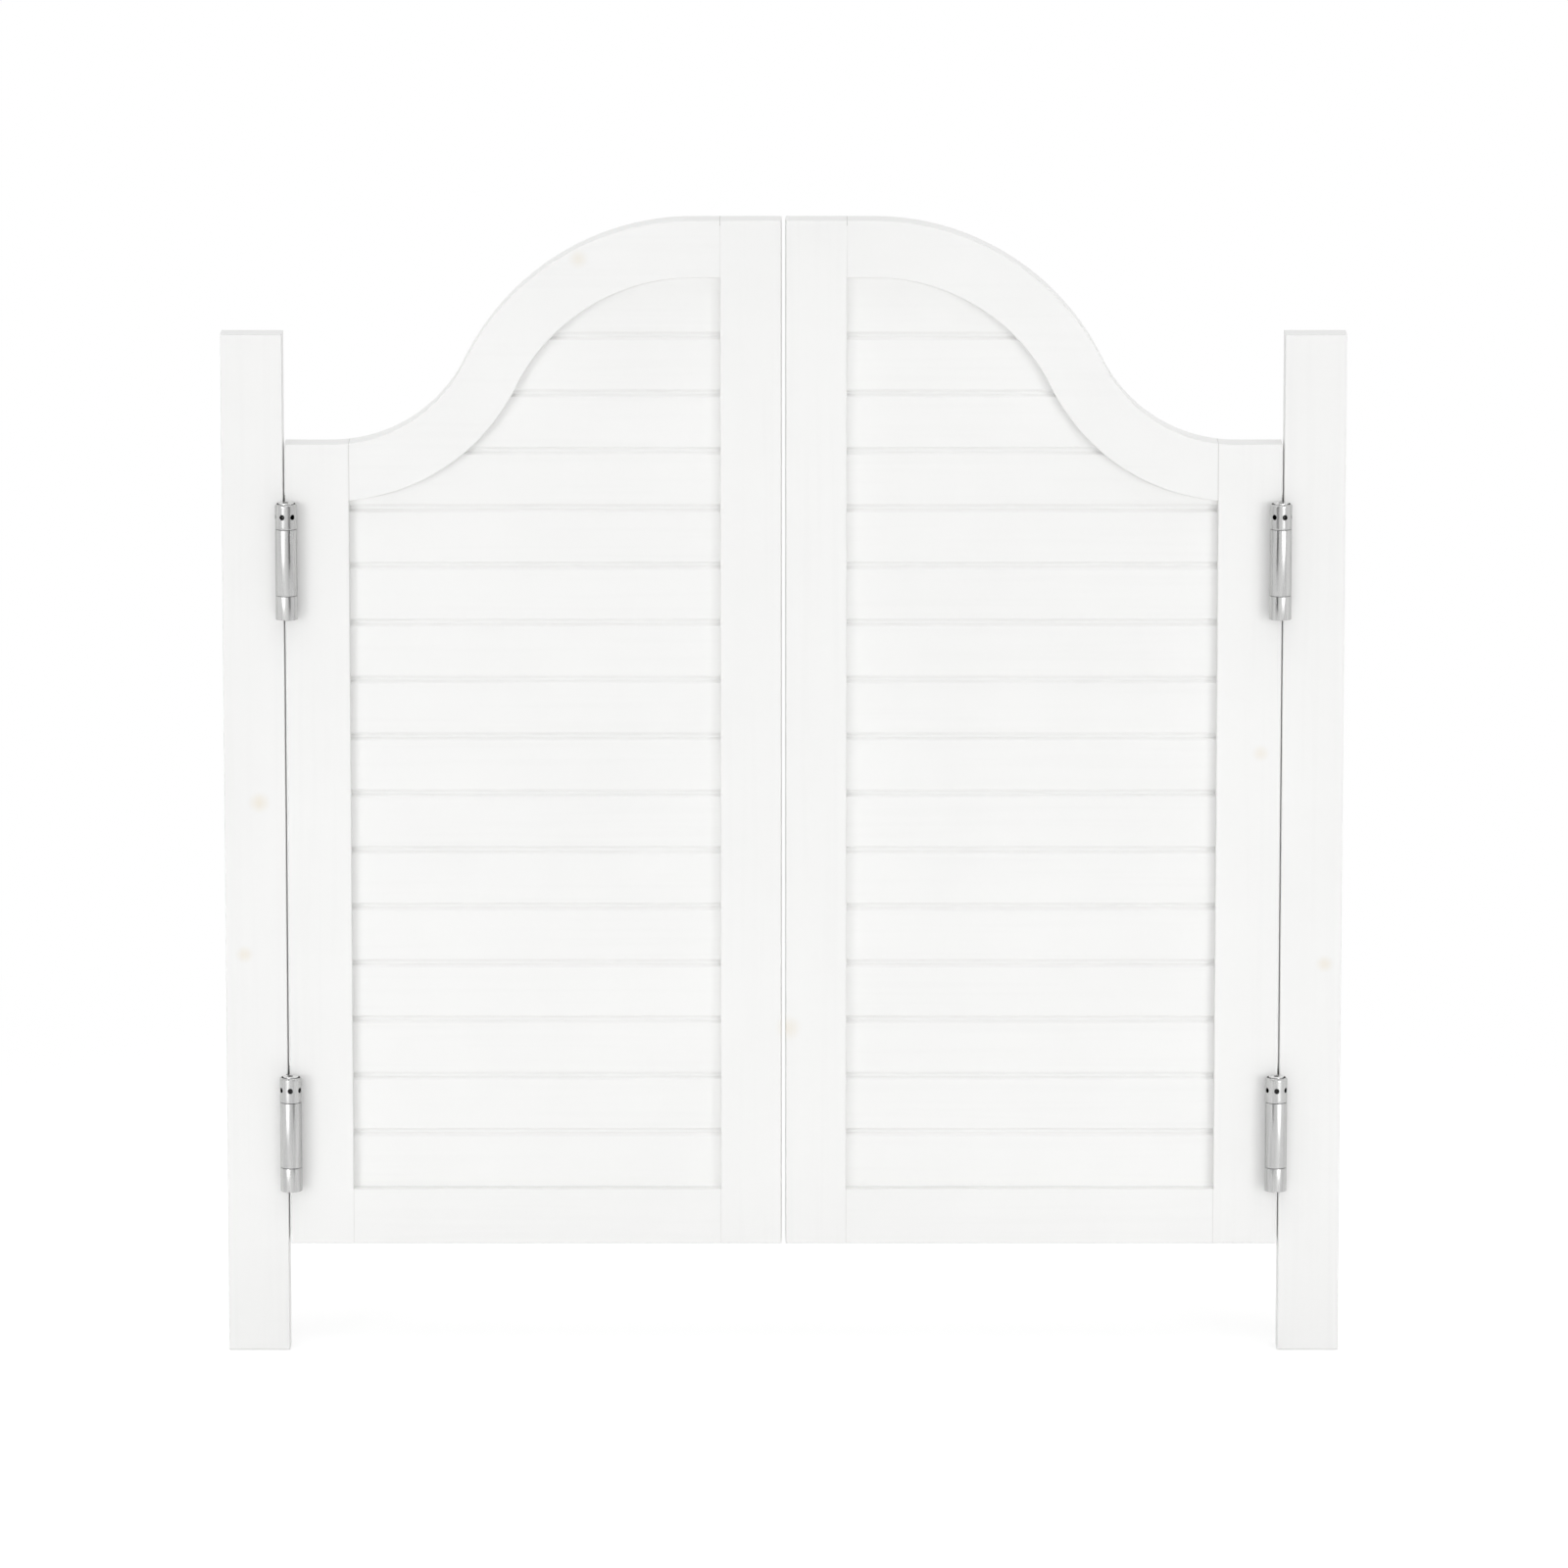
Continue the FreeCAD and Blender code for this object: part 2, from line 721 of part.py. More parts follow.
def countersink(body, gap_face, sheet_side, entry, thickness):
    """Countersunk screw holes through a leaf, as cones that narrow to the shank."""
    slack = given("screw_clearance")
    for number, (across, up) in enumerate(screw_places(entry), start=1):
        profile = new_sketch(body, f"countersink_{number}", "XY_Plane", at=up)
        outer = across + given("screw_head_radius") + slack
        inner = across + given("screw_radius") + slack
        add_loop(
            profile,
            [
                (gap_face, across),
                (gap_face, outer),
                (gap_face + thickness, inner),
                (gap_face + thickness, across),
            ],
        )
        cut_away(
            body,
            "PartDesign::Groove",
            f"screw_hole_{number}",
            profile,
            {"ReferenceAxis": (profile, ["Edge4"]), "Angle": 360},
        )


def make_middle_leaf():
    """The web in the side gap, with a rolled barrel at its front and back edges."""
    body = new_body("middle_leaf")
    height = barrel_head - barrel_foot
    web_x = -given("barrel_shift")
    half_sheet = given("leaf_thickness") / 2
    wall_middle = given("barrel_radius") - half_sheet
    web_end = axis_y - (wall_middle * wall_middle - web_x * web_x).root()
    web = new_sketch(body, "web_plan", "XY_Plane", at=barrel_foot)
    add_loop(
        web,
        [
            (web_x - half_sheet, -web_end),
            (web_x + half_sheet, -web_end),
            (web_x + half_sheet, web_end),
            (web_x - half_sheet, web_end),
        ],
    )
    pad(body, "web", web, height)
    for name, side in (("front", -1), ("back", 1)):
        centre = (NOUGHT, axis_y * side)
        ring = new_sketch(body, f"{name}_ring", "XY_Plane", at=barrel_foot, origin=centre)
        add_circle(ring, (NOUGHT, NOUGHT), given("barrel_radius"))
        add_circle(ring, (NOUGHT, NOUGHT), barrel_bore)
        pad(body, f"{name}_barrel", ring, height)
        seam = new_sketch(body, f"{name}_seam", "XY_Plane", at=barrel_foot, origin=centre)
        half_seam = given("seam_width") / 2
        turn = as_size(90 * side) - given("seam_angle") * side
        seam.setExpression("AttachmentOffset.Rotation.Angle", turn.text)
        inside = barrel_bore - SMALL_OVERCUT
        outside = given("barrel_radius") + SMALL_OVERCUT
        add_loop(
            seam,
            [
                (inside, -half_seam),
                (outside, -half_seam),
                (outside, half_seam),
                (inside, half_seam),
            ],
        )
        pocket(body, f"{name}_seam_gap", seam, height, Reversed=True)
    return body


def make_collar():
    """A turned collar with six tommy-bar holes, a spigot and a recess for the pin's head."""
    body = new_body("collar")
    profile = new_sketch(body, "collar_profile", "XZ_Plane")
    top = given("hinge_height")
    floor = top - recess_depth
    spigot = barrel_bore - given("bearing_clearance")
    spigot_foot = barrel_head - given("spigot_height")
    add_loop(
        profile,
        [
            (pin_bore, spigot_foot),
            (spigot, spigot_foot),
            (spigot, collar_foot),
            (given("barrel_radius"), collar_foot),
            (given("barrel_radius"), top - given("rim_bevel")),
            (rim_radius, top),
            (recess_radius, top),
            (recess_radius, floor),
            (pin_bore, floor),
        ],
    )
    revolve(body, "turned_collar", profile)
    middle = top - given("collar_height") / 2
    hole_floor = given("barrel_radius") - given("tommy_depth")
    drilling = new_sketch(body, "tommy_hole_outline", "XZ_Plane", at=hole_floor)
    add_circle(drilling, (NOUGHT, middle), given("tommy_radius"))
    before = body.Shape.Volume
    depth = given("tommy_depth") + SMALL_OVERCUT
    hole = pocket(body, "tommy_hole", drilling, depth, Reversed=True)
    one_hole = before - body.Shape.Volume
    pattern = body.newObject("PartDesign::PolarPattern", "tommy_holes")
    pattern.Originals = [hole]
    pattern.Axis = (origin_part(body, "Z_Axis"), [""])
    pattern.Angle = 360
    pattern.Occurrences = TOMMY_HOLES
    body.Tip = pattern
    doc.recompute()
    if before - body.Shape.Volume < one_hole * (TOMMY_HOLES - 0.5):
        raise RuntimeError("the tommy-bar holes aren't all cut")
    return body


def make_pin():
    """The hinge pin, with a wide riveted head that has a centre dimple."""
    body = new_body("pin")
    profile = new_sketch(body, "pin_profile", "XZ_Plane")
    head_top = given("hinge_height") + given("head_rise")
    head_foot = head_top - given("head_thickness")
    foot = given("end_clearance")
    add_loop(
        profile,
        [
            (NOUGHT, foot),
            (given("pin_radius"), foot),
            (given("pin_radius"), head_foot),
            (head_radius, head_foot),
            (head_radius, head_top),
            (given("dimple_radius"), head_top),
            (NOUGHT, head_foot),
        ],
    )
    revolve(body, "turned_pin", profile)
    return body


def make_spring():
    """The closed coil of the torsion spring, as a sleeve of its inside and outside size."""
    body = new_body("spring")
    slack = given("spring_clearance")
    foot = barrel_foot + given("spigot_height") + slack
    head = barrel_head - given("spigot_height") - slack
    ring = new_sketch(body, "coil_plan", "XY_Plane", at=foot)
    add_circle(ring, (NOUGHT, NOUGHT), barrel_bore - slack)
    add_circle(ring, (NOUGHT, NOUGHT), barrel_bore - slack - given("spring_wire"))
    pad(body, "coil", ring, head - foot)
    return body


def make_screw():
    """A countersunk wood screw along X: its head's face is at X = 0 and it runs to +X."""
    body = new_body("screw")
    profile = new_sketch(body, "screw_profile", "XZ_Plane")
    sheet_end = given("leaf_thickness")
    tip = sheet_end + given("screw_length")
    point = tip - given("screw_radius") * 2
    add_loop(
        profile,
        [
            (NOUGHT, NOUGHT),
            (tip, NOUGHT),
            (point, given("screw_radius")),
            (sheet_end, given("screw_radius")),
            (NOUGHT, given("screw_head_radius")),
        ],
    )
    feature = body.newObject("PartDesign::Revolution", "turned_screw")
    feature.Profile = profile
    feature.ReferenceAxis = (profile, ["H_Axis"])
    feature.Angle = 360
    doc.recompute()
    return body


# ---------------------------------------------------------------- putting the sides together
HALF_TURN = as_size(180)
SEATS = (("lower", lower_hinge), ("upper", upper_hinge))


def hinge_copies(name, source, sides):
    """Copies of a hinge piece on the left: one on each hinge, or one on each barrel named."""
    copies = []
    for seat, foot in SEATS:
        for side, across in sides.items():
            copies.append(placed_copy(f"{name}_{seat}_{side}", source, (axis_x, across, foot)))
    return copies


def collar_copies(source):
    """Collars as the springs were tensioned: a hole outward, the upper ones turned further."""
    copies = []
    for seat, foot in SEATS:
        for side, sign in (("front", -1), ("back", 1)):
            turn = given("upper_collar_turn") * sign if seat == "upper" else NOUGHT
            place = (axis_x, axis_y * sign, foot)
            copies.append(placed_copy(f"left_collar_{seat}_{side}", source, place, turn))
    return copies


def screw_copies(name, source, face, direction, entry):
    """Three screws in each of the two leaves, their heads level with the leaf."""
    copies = []
    turn = NOUGHT if direction > 0 else HALF_TURN
    for seat, foot in SEATS:
        for number, (across, up) in enumerate(screw_places(entry), start=1):
            place = (face, across, foot + up)
            copies.append(placed_copy(f"{name}_{seat}_{number}", source, place, turn))
    return copies


def make_left_side():
    """Every sub-part of the left side."""
    nodes = [make_post()]
    nodes += part_frame(make_door_frame())
    nodes += make_boards()
    middle_only = {"middle": NOUGHT}
    both_barrels = {"front": -axis_y, "back": axis_y}
    jamb_leaf = make_leaf("jamb_leaf", jamb_face, -1, -1)
    door_leaf = make_leaf("door_leaf", door_face, 1, 1)
    pieces = {
        "left_jamb_leaves": hinge_copies("left_jamb_leaf", jamb_leaf, middle_only),
        "left_middle_leaves": hinge_copies("left_middle", make_middle_leaf(), middle_only),
        "left_door_leaves": hinge_copies("left_door_leaf", door_leaf, middle_only),
        "left_tension_collars": collar_copies(make_collar()),
        "left_hinge_pins": hinge_copies("left_pin", make_pin(), both_barrels),
        "left_hinge_springs": hinge_copies("left_spring", make_spring(), both_barrels),
    }
    screw = make_screw()
    pieces["left_jamb_screws"] = screw_copies("left_jamb_screw", screw, post_inner, -1, -1)
    pieces["left_door_screws"] = screw_copies("left_door_screw", screw, hinge_edge, 1, 1)
    nodes += [group(name, copies) for name, copies in pieces.items()]
    return nodes


def turn_round(nodes):
    """The right side: each left sub-part turned half round about Z."""
    turned = []
    for node in nodes:
        name = node.Label.replace("left_", "right_")
        copy = placed_copy(f"{name}_turned", node, turn=HALF_TURN)
        turned.append(group(name, [copy]))
    return turned


left_nodes = make_left_side()
all_nodes = left_nodes + turn_round(left_nodes)
doc.recompute()

faults = [
    f"{thing.Label}: {', '.join(thing.State)}"
    for thing in doc.Objects
    if {"Invalid", "Error"} & set(thing.State)
]
faults += [
    f"{node.Label}: its shape is null or not valid"
    for node in all_nodes
    if node.Shape.isNull() or not node.Shape.isValid()
]
if faults:
    raise RuntimeError("; ".join(faults))

os.makedirs("parts", exist_ok=True)
for node in all_nodes:
    node.Shape.exportStep(os.path.join("parts", f"{node.Label}.step"))
print(f"{len(all_nodes)} sub-parts written")
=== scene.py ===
import math

import bmesh
import bpy
import numpy as np
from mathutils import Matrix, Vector


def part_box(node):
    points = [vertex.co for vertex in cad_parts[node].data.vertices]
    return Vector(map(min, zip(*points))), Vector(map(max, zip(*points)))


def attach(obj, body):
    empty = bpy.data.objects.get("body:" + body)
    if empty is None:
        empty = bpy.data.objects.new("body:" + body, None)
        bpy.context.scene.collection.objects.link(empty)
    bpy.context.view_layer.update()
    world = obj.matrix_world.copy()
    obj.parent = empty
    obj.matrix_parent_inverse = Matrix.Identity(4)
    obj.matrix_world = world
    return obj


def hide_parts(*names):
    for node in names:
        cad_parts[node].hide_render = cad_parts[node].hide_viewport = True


bl_info = {
    "name": "Cafe Swinging Doors",
    "version": (1, 0, 0),
    "blender": (4, 5, 0),
    "location": "View3D > Sidebar > Cafe Doors",
    "description": "Paintwork, hinge ironwork and studio for a pair of cafe swinging doors",
    "category": "Object",
}

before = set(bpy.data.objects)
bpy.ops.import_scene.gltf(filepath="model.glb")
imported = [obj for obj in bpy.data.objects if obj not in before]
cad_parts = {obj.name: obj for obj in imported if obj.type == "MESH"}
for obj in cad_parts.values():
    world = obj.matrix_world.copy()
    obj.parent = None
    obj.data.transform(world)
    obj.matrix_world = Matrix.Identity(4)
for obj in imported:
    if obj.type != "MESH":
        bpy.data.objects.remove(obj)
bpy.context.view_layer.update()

MM = 0.001
MERGE, SLIVER = 1e-6, 1e-7  # nearer points are one point, and shorter edges are none, in metres
SHARP = math.radians(40)  # an edge that turns further than this stays sharp
FIT = 0.05 * MM  # play of a pin in its bore, and of a spigot in its barrel
FLAT_EASE = 0.1 * MM  # rounding of the ends of flat sheet
BARREL_STEPS = 96  # points round a barrel and a knuckle
LEAF_NEAR, LEAF_FAR = 14 * MM, -10 * MM  # sides of a leaf, from the middle of the timber
LEAF_SPLITS = 0.3125, 0.6875  # shares of a leaf's height where its three rectangles meet
HEAD_HOLE, SHANK_HOLE = 3.85 * MM, 2.05 * MM  # radii of a countersunk hole on its two faces
TOMMY_HOLES = 6
SIDES = {"left": 1.0, "right": -1.0}
BOARDS = sorted(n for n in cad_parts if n.startswith("left_board_"))


def linear(hex_colour):
    """An sRGB hex colour as linear red, green, blue and an alpha of 1."""
    code = np.array([int(hex_colour[i : i + 2], 16) for i in (1, 3, 5)]) / 255
    light = np.where(code <= 0.04045, code / 12.92, ((code + 0.055) / 1.055) ** 2.4)
    return (*light.tolist(), 1.0)


# ------------------------------------------------------------------ sizes and looks
def number(name, description, default, **limits):
    """A number that a user can change. It is 0 or more, unless limits give another min."""
    return bpy.props.FloatProperty(
        name=name, description=description, default=default, **{"min": 0.0, **limits}
    )


def length(name, description, default):
    """A length that a user can change, in metres."""
    return number(name, description, default, unit="LENGTH", precision=5)


def colour(name, description, hex_colour):
    """A colour that a user can change, from its sRGB hex value."""
    return bpy.props.FloatVectorProperty(
        name=name, description=description, subtype="COLOR", size=4, min=0, max=1,
        default=linear(hex_colour),
    )


class CafeHingeSizes(bpy.types.PropertyGroup):
    """Sizes of one double-action spring hinge. Its height and axes come from the CAD frame."""

    axis_x: length("Axis from middle", "Barrel axis from the middle of the opening", 0.4042)
    axis_y: length("Axis from centre plane", "Barrel axis in front of or behind the doors", 0.024)
    gap_near: length("Door face", "Door edge from the barrel axis, towards the post", 0.0012)
    gap_far: length("Post face", "Post face from the barrel axis", 0.0028)
    foot_low: length("Lower hinge", "Height of the foot of the lower hinge", 0.137)
    foot_high: length("Upper hinge", "Height of the foot of the upper hinge", 0.613)
    height: length("Height", "Leaf and barrel", 0.095)
    barrel_radius: length("Barrel radius", "Outside of the barrel", 0.009)
    sheet: length("Sheet", "Thickness of the leaves and the rolled barrel", 0.0012)
    knuckle: length("Knuckle", "Fixed knuckle at the foot", 0.0195)
    collar: length("Collar", "Tension collar at the head", 0.0205)
    gap: length("Gap", "Between knuckle, barrel and collar", 0.0003)
    spigot: length("Spigot", "Spigot of knuckle and collar inside the barrel", 0.004)
    ease: length("Eased edge", "Rounding of the turned and sawn edges", 0.00035)
    pin_radius: length("Pin radius", "Hinge pin", 0.0025)
    rim_bevel: length("Rim bevel", "Sloping shoulder at the top of a collar", 0.0012)
    head_radius: length("Pin head radius", "Riveted head of the pin", 0.0063)
    head_rise: length("Pin head rise", "Head above the rim of the collar", 0.0008)
    head_height: length("Pin head height", "Thickness of the riveted head", 0.002)
    dimple_radius: length("Dimple radius", "Centre dimple of the pin head", 0.0022)
    recess_radius: length("Recess radius", "Recess round the pin head", 0.0076)
    tommy_radius: length("Tommy hole radius", "Holes for the tensioning bar", 0.0021)
    tommy_depth: length("Tommy hole depth", "Depth of the same holes", 0.004)
    seam: length("Seam", "Closing seam of the rolled barrel", 0.0004)
    seam_turn: number(
        "Seam turn", "Seam from the outward side towards the door, in degrees", 69.0, max=180
    )
    upper_turn: number(
        "Upper collar turn", "How far the upper collars are wound, in degrees", 20.0, max=60
    )


class CafePaintLook(bpy.types.PropertyGroup):
    """White satin paint over planed pine."""

    white: colour("Paint", "Paint where the film is full", "#F5F5F4")
    shade: colour("Thin paint", "Paint where the film is thin over the timber", "#F2F2F1")
    stain: colour("Knot stain", "Resin that bleeds through over a knot", "#E9DFCB")
    crack: colour("Joint line", "Hairline in the film over a joint", "#C9C8C5")
    roughness: number("Roughness", "Satin sheen of the dry paint", 0.42, max=1, subtype="FACTOR")
    stroke: length("Brush stroke", "Spacing of the brush marks", 0.0014)
    ring: length("Growth ring", "Spacing of the raised summer wood under the paint", 0.0055)


class CafeSteelLook(bpy.types.PropertyGroup):
    """Satin stainless steel, drawn along the barrel."""

    bright: colour("Bright", "Steel along the lighter streaks", "#CFCFCE")
    dull: colour("Dull", "Steel along the darker streaks", "#B4B4B4")
    # painted shade: a dark steel colour laid inside bores, recesses, tommy holes, the pin's dimple
    # and the joints between knuckle, barrel and collar, where shade falls
    bore_shade: colour("Raw", "Steel left as drilled, inside bores and recesses", "#333333")
    roughness: number("Roughness", "Satin finish", 0.25, max=1, subtype="FACTOR")
    streak: length("Streak", "Width of the draw marks", 0.0009)


class CafeStudio(bpy.types.PropertyGroup):
    """Camera, lamps and floor."""

    distance: length("Camera distance", "From the middle of the doors", 9.0)
    elevation: number(
        "Elevation", "Camera above the middle of the doors, in degrees", 10.5, min=-90, max=90
    )
    aim: length("Aim height", "Height that the camera looks at", 0.472)
    lens: number("Lens", "Focal length in millimetres", 252.5, min=10, max=500)
    key: number("Side lamps", "Power of each side lamp in watts", 1.4, unit="POWER")
    top: number("Top lamp", "Power of the lamp overhead in watts", 3.8, unit="POWER")
    front: number("Front lamp", "Power of the lamp in front in watts", 27.0, unit="POWER")
    fill: number("Fill", "Strength of the even light from all round", 0.26)
    overhead: number("Overhead", "What the even light gains from above", 0.7)


# ------------------------------------------------------------------ surfaces
def grid_faces(rows, columns, wrap_rows, wrap_columns):
    """Quads between neighbouring points of a grid, as rows of four point numbers."""
    row = np.arange(rows if wrap_rows else rows - 1)[:, None]
    column = np.arange(columns if wrap_columns else columns - 1)[None, :]
    after, beside = (row + 1) % rows, (column + 1) % columns
    corners = (
        row * columns + column, row * columns + beside, after * columns + beside,
        after * columns + column,
    )
    return np.stack(corners, -1).reshape(-1, 4)


def make_piece(name, surfaces, material, body, replaced, slot):
    """Joins grids of points into one mesh object that rides on a body.

    Each surface is (points, wrap_rows, wrap_columns), with points of shape (rows, columns, 3).
    """
    points, faces, first = [], [], 0
    for grid, wrap_rows, wrap_columns in surfaces:
        rows, columns = grid.shape[:2]
        points.append(grid.reshape(-1, 3))
        faces.append(grid_faces(rows, columns, wrap_rows, wrap_columns) + first)
        first += rows * columns
    points, faces = np.concatenate(points), np.concatenate(faces)
    mesh = bpy.data.meshes.new(name)
    mesh.vertices.add(len(points))
    mesh.vertices.foreach_set("co", points.astype(np.float32).ravel())
    mesh.loops.add(faces.size)
    mesh.loops.foreach_set("vertex_index", faces.astype(np.int32).ravel())
    mesh.polygons.add(len(faces))
    mesh.polygons.foreach_set("loop_start", np.arange(0, faces.size, 4, dtype=np.int32))
    mesh.update(calc_edges=True)
    shell = bmesh.new()
    shell.from_mesh(mesh)
    bmesh.ops.remove_doubles(shell, verts=shell.verts, dist=MERGE)
    bmesh.ops.dissolve_degenerate(shell, edges=shell.edges, dist=SLIVER)
    bmesh.ops.recalc_face_normals(shell, faces=shell.faces)
    shell.to_mesh(mesh)
    shell.free()
    mesh.polygons.foreach_set("use_smooth", np.ones(len(mesh.polygons), bool))
    mesh.set_sharp_from_angle(angle=SHARP)
    mesh.materials.append(material)
    piece = bpy.data.objects.new(name, mesh)
    bpy.context.scene.collection.objects.link(piece)
    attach(piece, body)
    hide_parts(*replaced)
    return piece


def eased(corners, ease, steps=4):
    """A closed outline with each corner rounded by an arc that starts ease away from it.

    Each arc is the quadratic curve from one side to the other with the corner as its control.
    """
    corners = np.asarray(corners, float)
    to_last = np.roll(corners, 1, axis=0) - corners
    to_next = np.roll(corners, -1, axis=0) - corners
    span_last = np.linalg.norm(to_last, axis=1, keepdims=True)
    span_next = np.linalg.norm(to_next, axis=1, keepdims=True)
    start = corners + to_last * np.minimum(ease / span_last, 0.49)
    end = corners + to_next * np.minimum(ease / span_next, 0.49)
    along = np.linspace(0, 1, steps)[None, :, None]
    curve = (
        start[:, None] * (1 - along) ** 2
        + corners[:, None] * 2 * along * (1 - along)
        + end[:, None] * along**2
    )
    return curve.reshape(-1, 2)


def turned(profile, segments=72, start=0.0, end=360.0, closed=True):
    """A profile of (radius, height) points carried round the upright axis.

    Each point is (radius * sin(turn), -radius * cos(turn), height), for turns from start to end
    in degrees. Turn 0 faces the front and positive turns go to the right.
    """
    whole = abs(end - start) >= 360
    count = segments if whole else segments + 1
    turns = np.radians(np.linspace(start, end, count, endpoint=not whole))
    radius, height = np.asarray(profile, float).T
    grid = np.stack(
        [
            radius[:, None] * np.sin(turns)[None, :],
            -radius[:, None] * np.cos(turns)[None, :],
            np.repeat(height[:, None], count, axis=1),
        ],
        -1,
    )
    return grid, closed, whole


def prism(outline, foot, head, ease):
    """A flat outline of (x, y) points carried up from foot to head, with eased ends and closed.

    Each level is the outline drawn in towards its middle by the ease of that level.
    """
    outline = np.asarray(outline, float)
    middle = outline.mean(0)
    reach = np.abs(outline - middle).max(0)
    shrink = 1 - ease / reach
    levels = (
        (foot, 0), (foot, shrink), (foot + ease, 1), (head - ease, 1), (head, shrink), (head, 0),
    )
    rows = [
        np.column_stack([middle + (outline - middle) * scale, np.full(len(outline), level)])
        for level, scale in levels
    ]
    return np.stack(rows), False, True


def holed_patch(low, high, centre, rim, side_points=8, steps=5):
    """A rectangle with a hole, as a grid that runs from the rim of the hole to the sides.

    Points stand at even steps along the four sides. Each is joined to the point of the rim that
    lies in its direction, and the rows divide that line evenly. rim gives, for an angle round
    the hole, the (across, up) offset of the rim from the centre.
    """
    (x0, y0), (x1, y1) = low, high
    part = np.arange(side_points) / side_points
    sides = np.concatenate(
        [
            np.column_stack([x0 + (x1 - x0) * part, np.full(side_points, y0)]),
            np.column_stack([np.full(side_points, x1), y0 + (y1 - y0) * part]),
            np.column_stack([x1 + (x0 - x1) * part, np.full(side_points, y1)]),
            np.column_stack([np.full(side_points, x0), y1 + (y0 - y1) * part]),
        ]
    )
    offset = sides - np.asarray(centre)
    angle = np.arctan2(offset[:, 1], offset[:, 0])
    edge = np.asarray(centre) + rim(angle)
    along = np.linspace(0, 1, steps + 1)[:, None, None]
    return edge[None] * (1 - along) + sides[None] * along, angle


def moved(surface, place, turn_over):
    """A surface set at a place on the left, or turned half round about Z for the right."""
    grid, wrap_rows, wrap_columns = surface
    out = grid + np.asarray(place)
    return out * np.array([turn_over, turn_over, 1.0]), wrap_rows, wrap_columns


def on_both_axes(sizes, make):
    """The surfaces that make(side) gives, set on the front (-1) and the back (1) barrel axis."""
    for side in (-1, 1):
        for grid, rows, columns in make(side):
            yield grid + [0, side * sizes.axis_y, 0], rows, columns


# ------------------------------------------------------------------ hinge pieces
def wall_profile(inner, outer, foot, head, ease, steps=4):
    """Outer and inner side of a tube wall from foot to head, with eased ends, as two rows."""
    turn = np.linspace(0, np.pi / 2, steps)
    inset = ease * (1 - np.sin(turn))
    rise = ease * (1 - np.cos(turn))
    heights = np.concatenate([foot + rise, head - rise[::-1]])
    insets = np.concatenate([inset, inset[::-1]])
    outside = np.column_stack([outer - insets, heights])
    inside = np.column_stack([inner + insets, heights])
    return outside, inside


def barrel_ends(sizes):
    """Heights of the foot and the head of a rolled barrel, from the foot of its hinge."""
    return sizes.knuckle + sizes.gap, sizes.height - sizes.collar - sizes.gap


def rolled_barrel(sizes, side):
    """A barrel rolled from sheet: a tube wall carried round its axis, open at a narrow seam."""
    foot, head = barrel_ends(sizes)
    outside, inside = wall_profile(
        sizes.barrel_radius - sizes.sheet, sizes.barrel_radius, foot, head, sizes.ease
    )
    outward = sizes.seam_turn if side < 0 else 180 - sizes.seam_turn
    half = math.degrees(sizes.seam / sizes.barrel_radius / 2)
    start, end = outward + half, outward + 360 - half - 1e-6
    profile = np.concatenate([outside, inside[::-1]])
    wall, _, _ = turned(profile, BARREL_STEPS, start, end)
    surfaces = [(wall, True, False)]
    for turn in (start, end):
        grid, _, _ = turned(np.concatenate([outside, inside]), 1, turn, turn)
        surfaces.append((grid[:, 0].reshape(2, len(outside), 3), False, False))
    return surfaces


def middle_leaf(sizes):
    """Two rolled barrels and the web that joins them through the gap beside the door."""
    surfaces = list(on_both_axes(sizes, lambda side: rolled_barrel(sizes, side)))
    middle, half = -2 * MM, sizes.sheet / 2
    reach = sizes.axis_y - math.sqrt((sizes.barrel_radius - half) ** 2 - middle**2)
    left, right = middle - half, middle + half
    web = [(left, -reach), (right, -reach), (right, reach), (left, reach)]
    surfaces.append(prism(web, *barrel_ends(sizes), FLAT_EASE))
    return surfaces


def knuckle(sizes):
    """The fixed knuckle: a bored, eased ring with a spigot that enters the barrel above it."""
    bore, radius = sizes.pin_radius + FIT, sizes.barrel_radius
    spigot = radius - sizes.sheet - FIT
    top = sizes.knuckle + sizes.gap + sizes.spigot
    corners = [(bore, 0), (radius, 0), (radius, sizes.knuckle), (spigot, sizes.knuckle)]
    profile = np.concatenate([eased(corners, sizes.ease), [(spigot, top), (bore, top)]])
    return turned(profile, BARREL_STEPS)


def screw_places(sizes):
    """The three screws of a leaf, in mm: across from the timber's middle, up from the foot."""
    tall = sizes.height / MM
    return (-3, 12), (7, tall / 2), (-3, tall - 12)


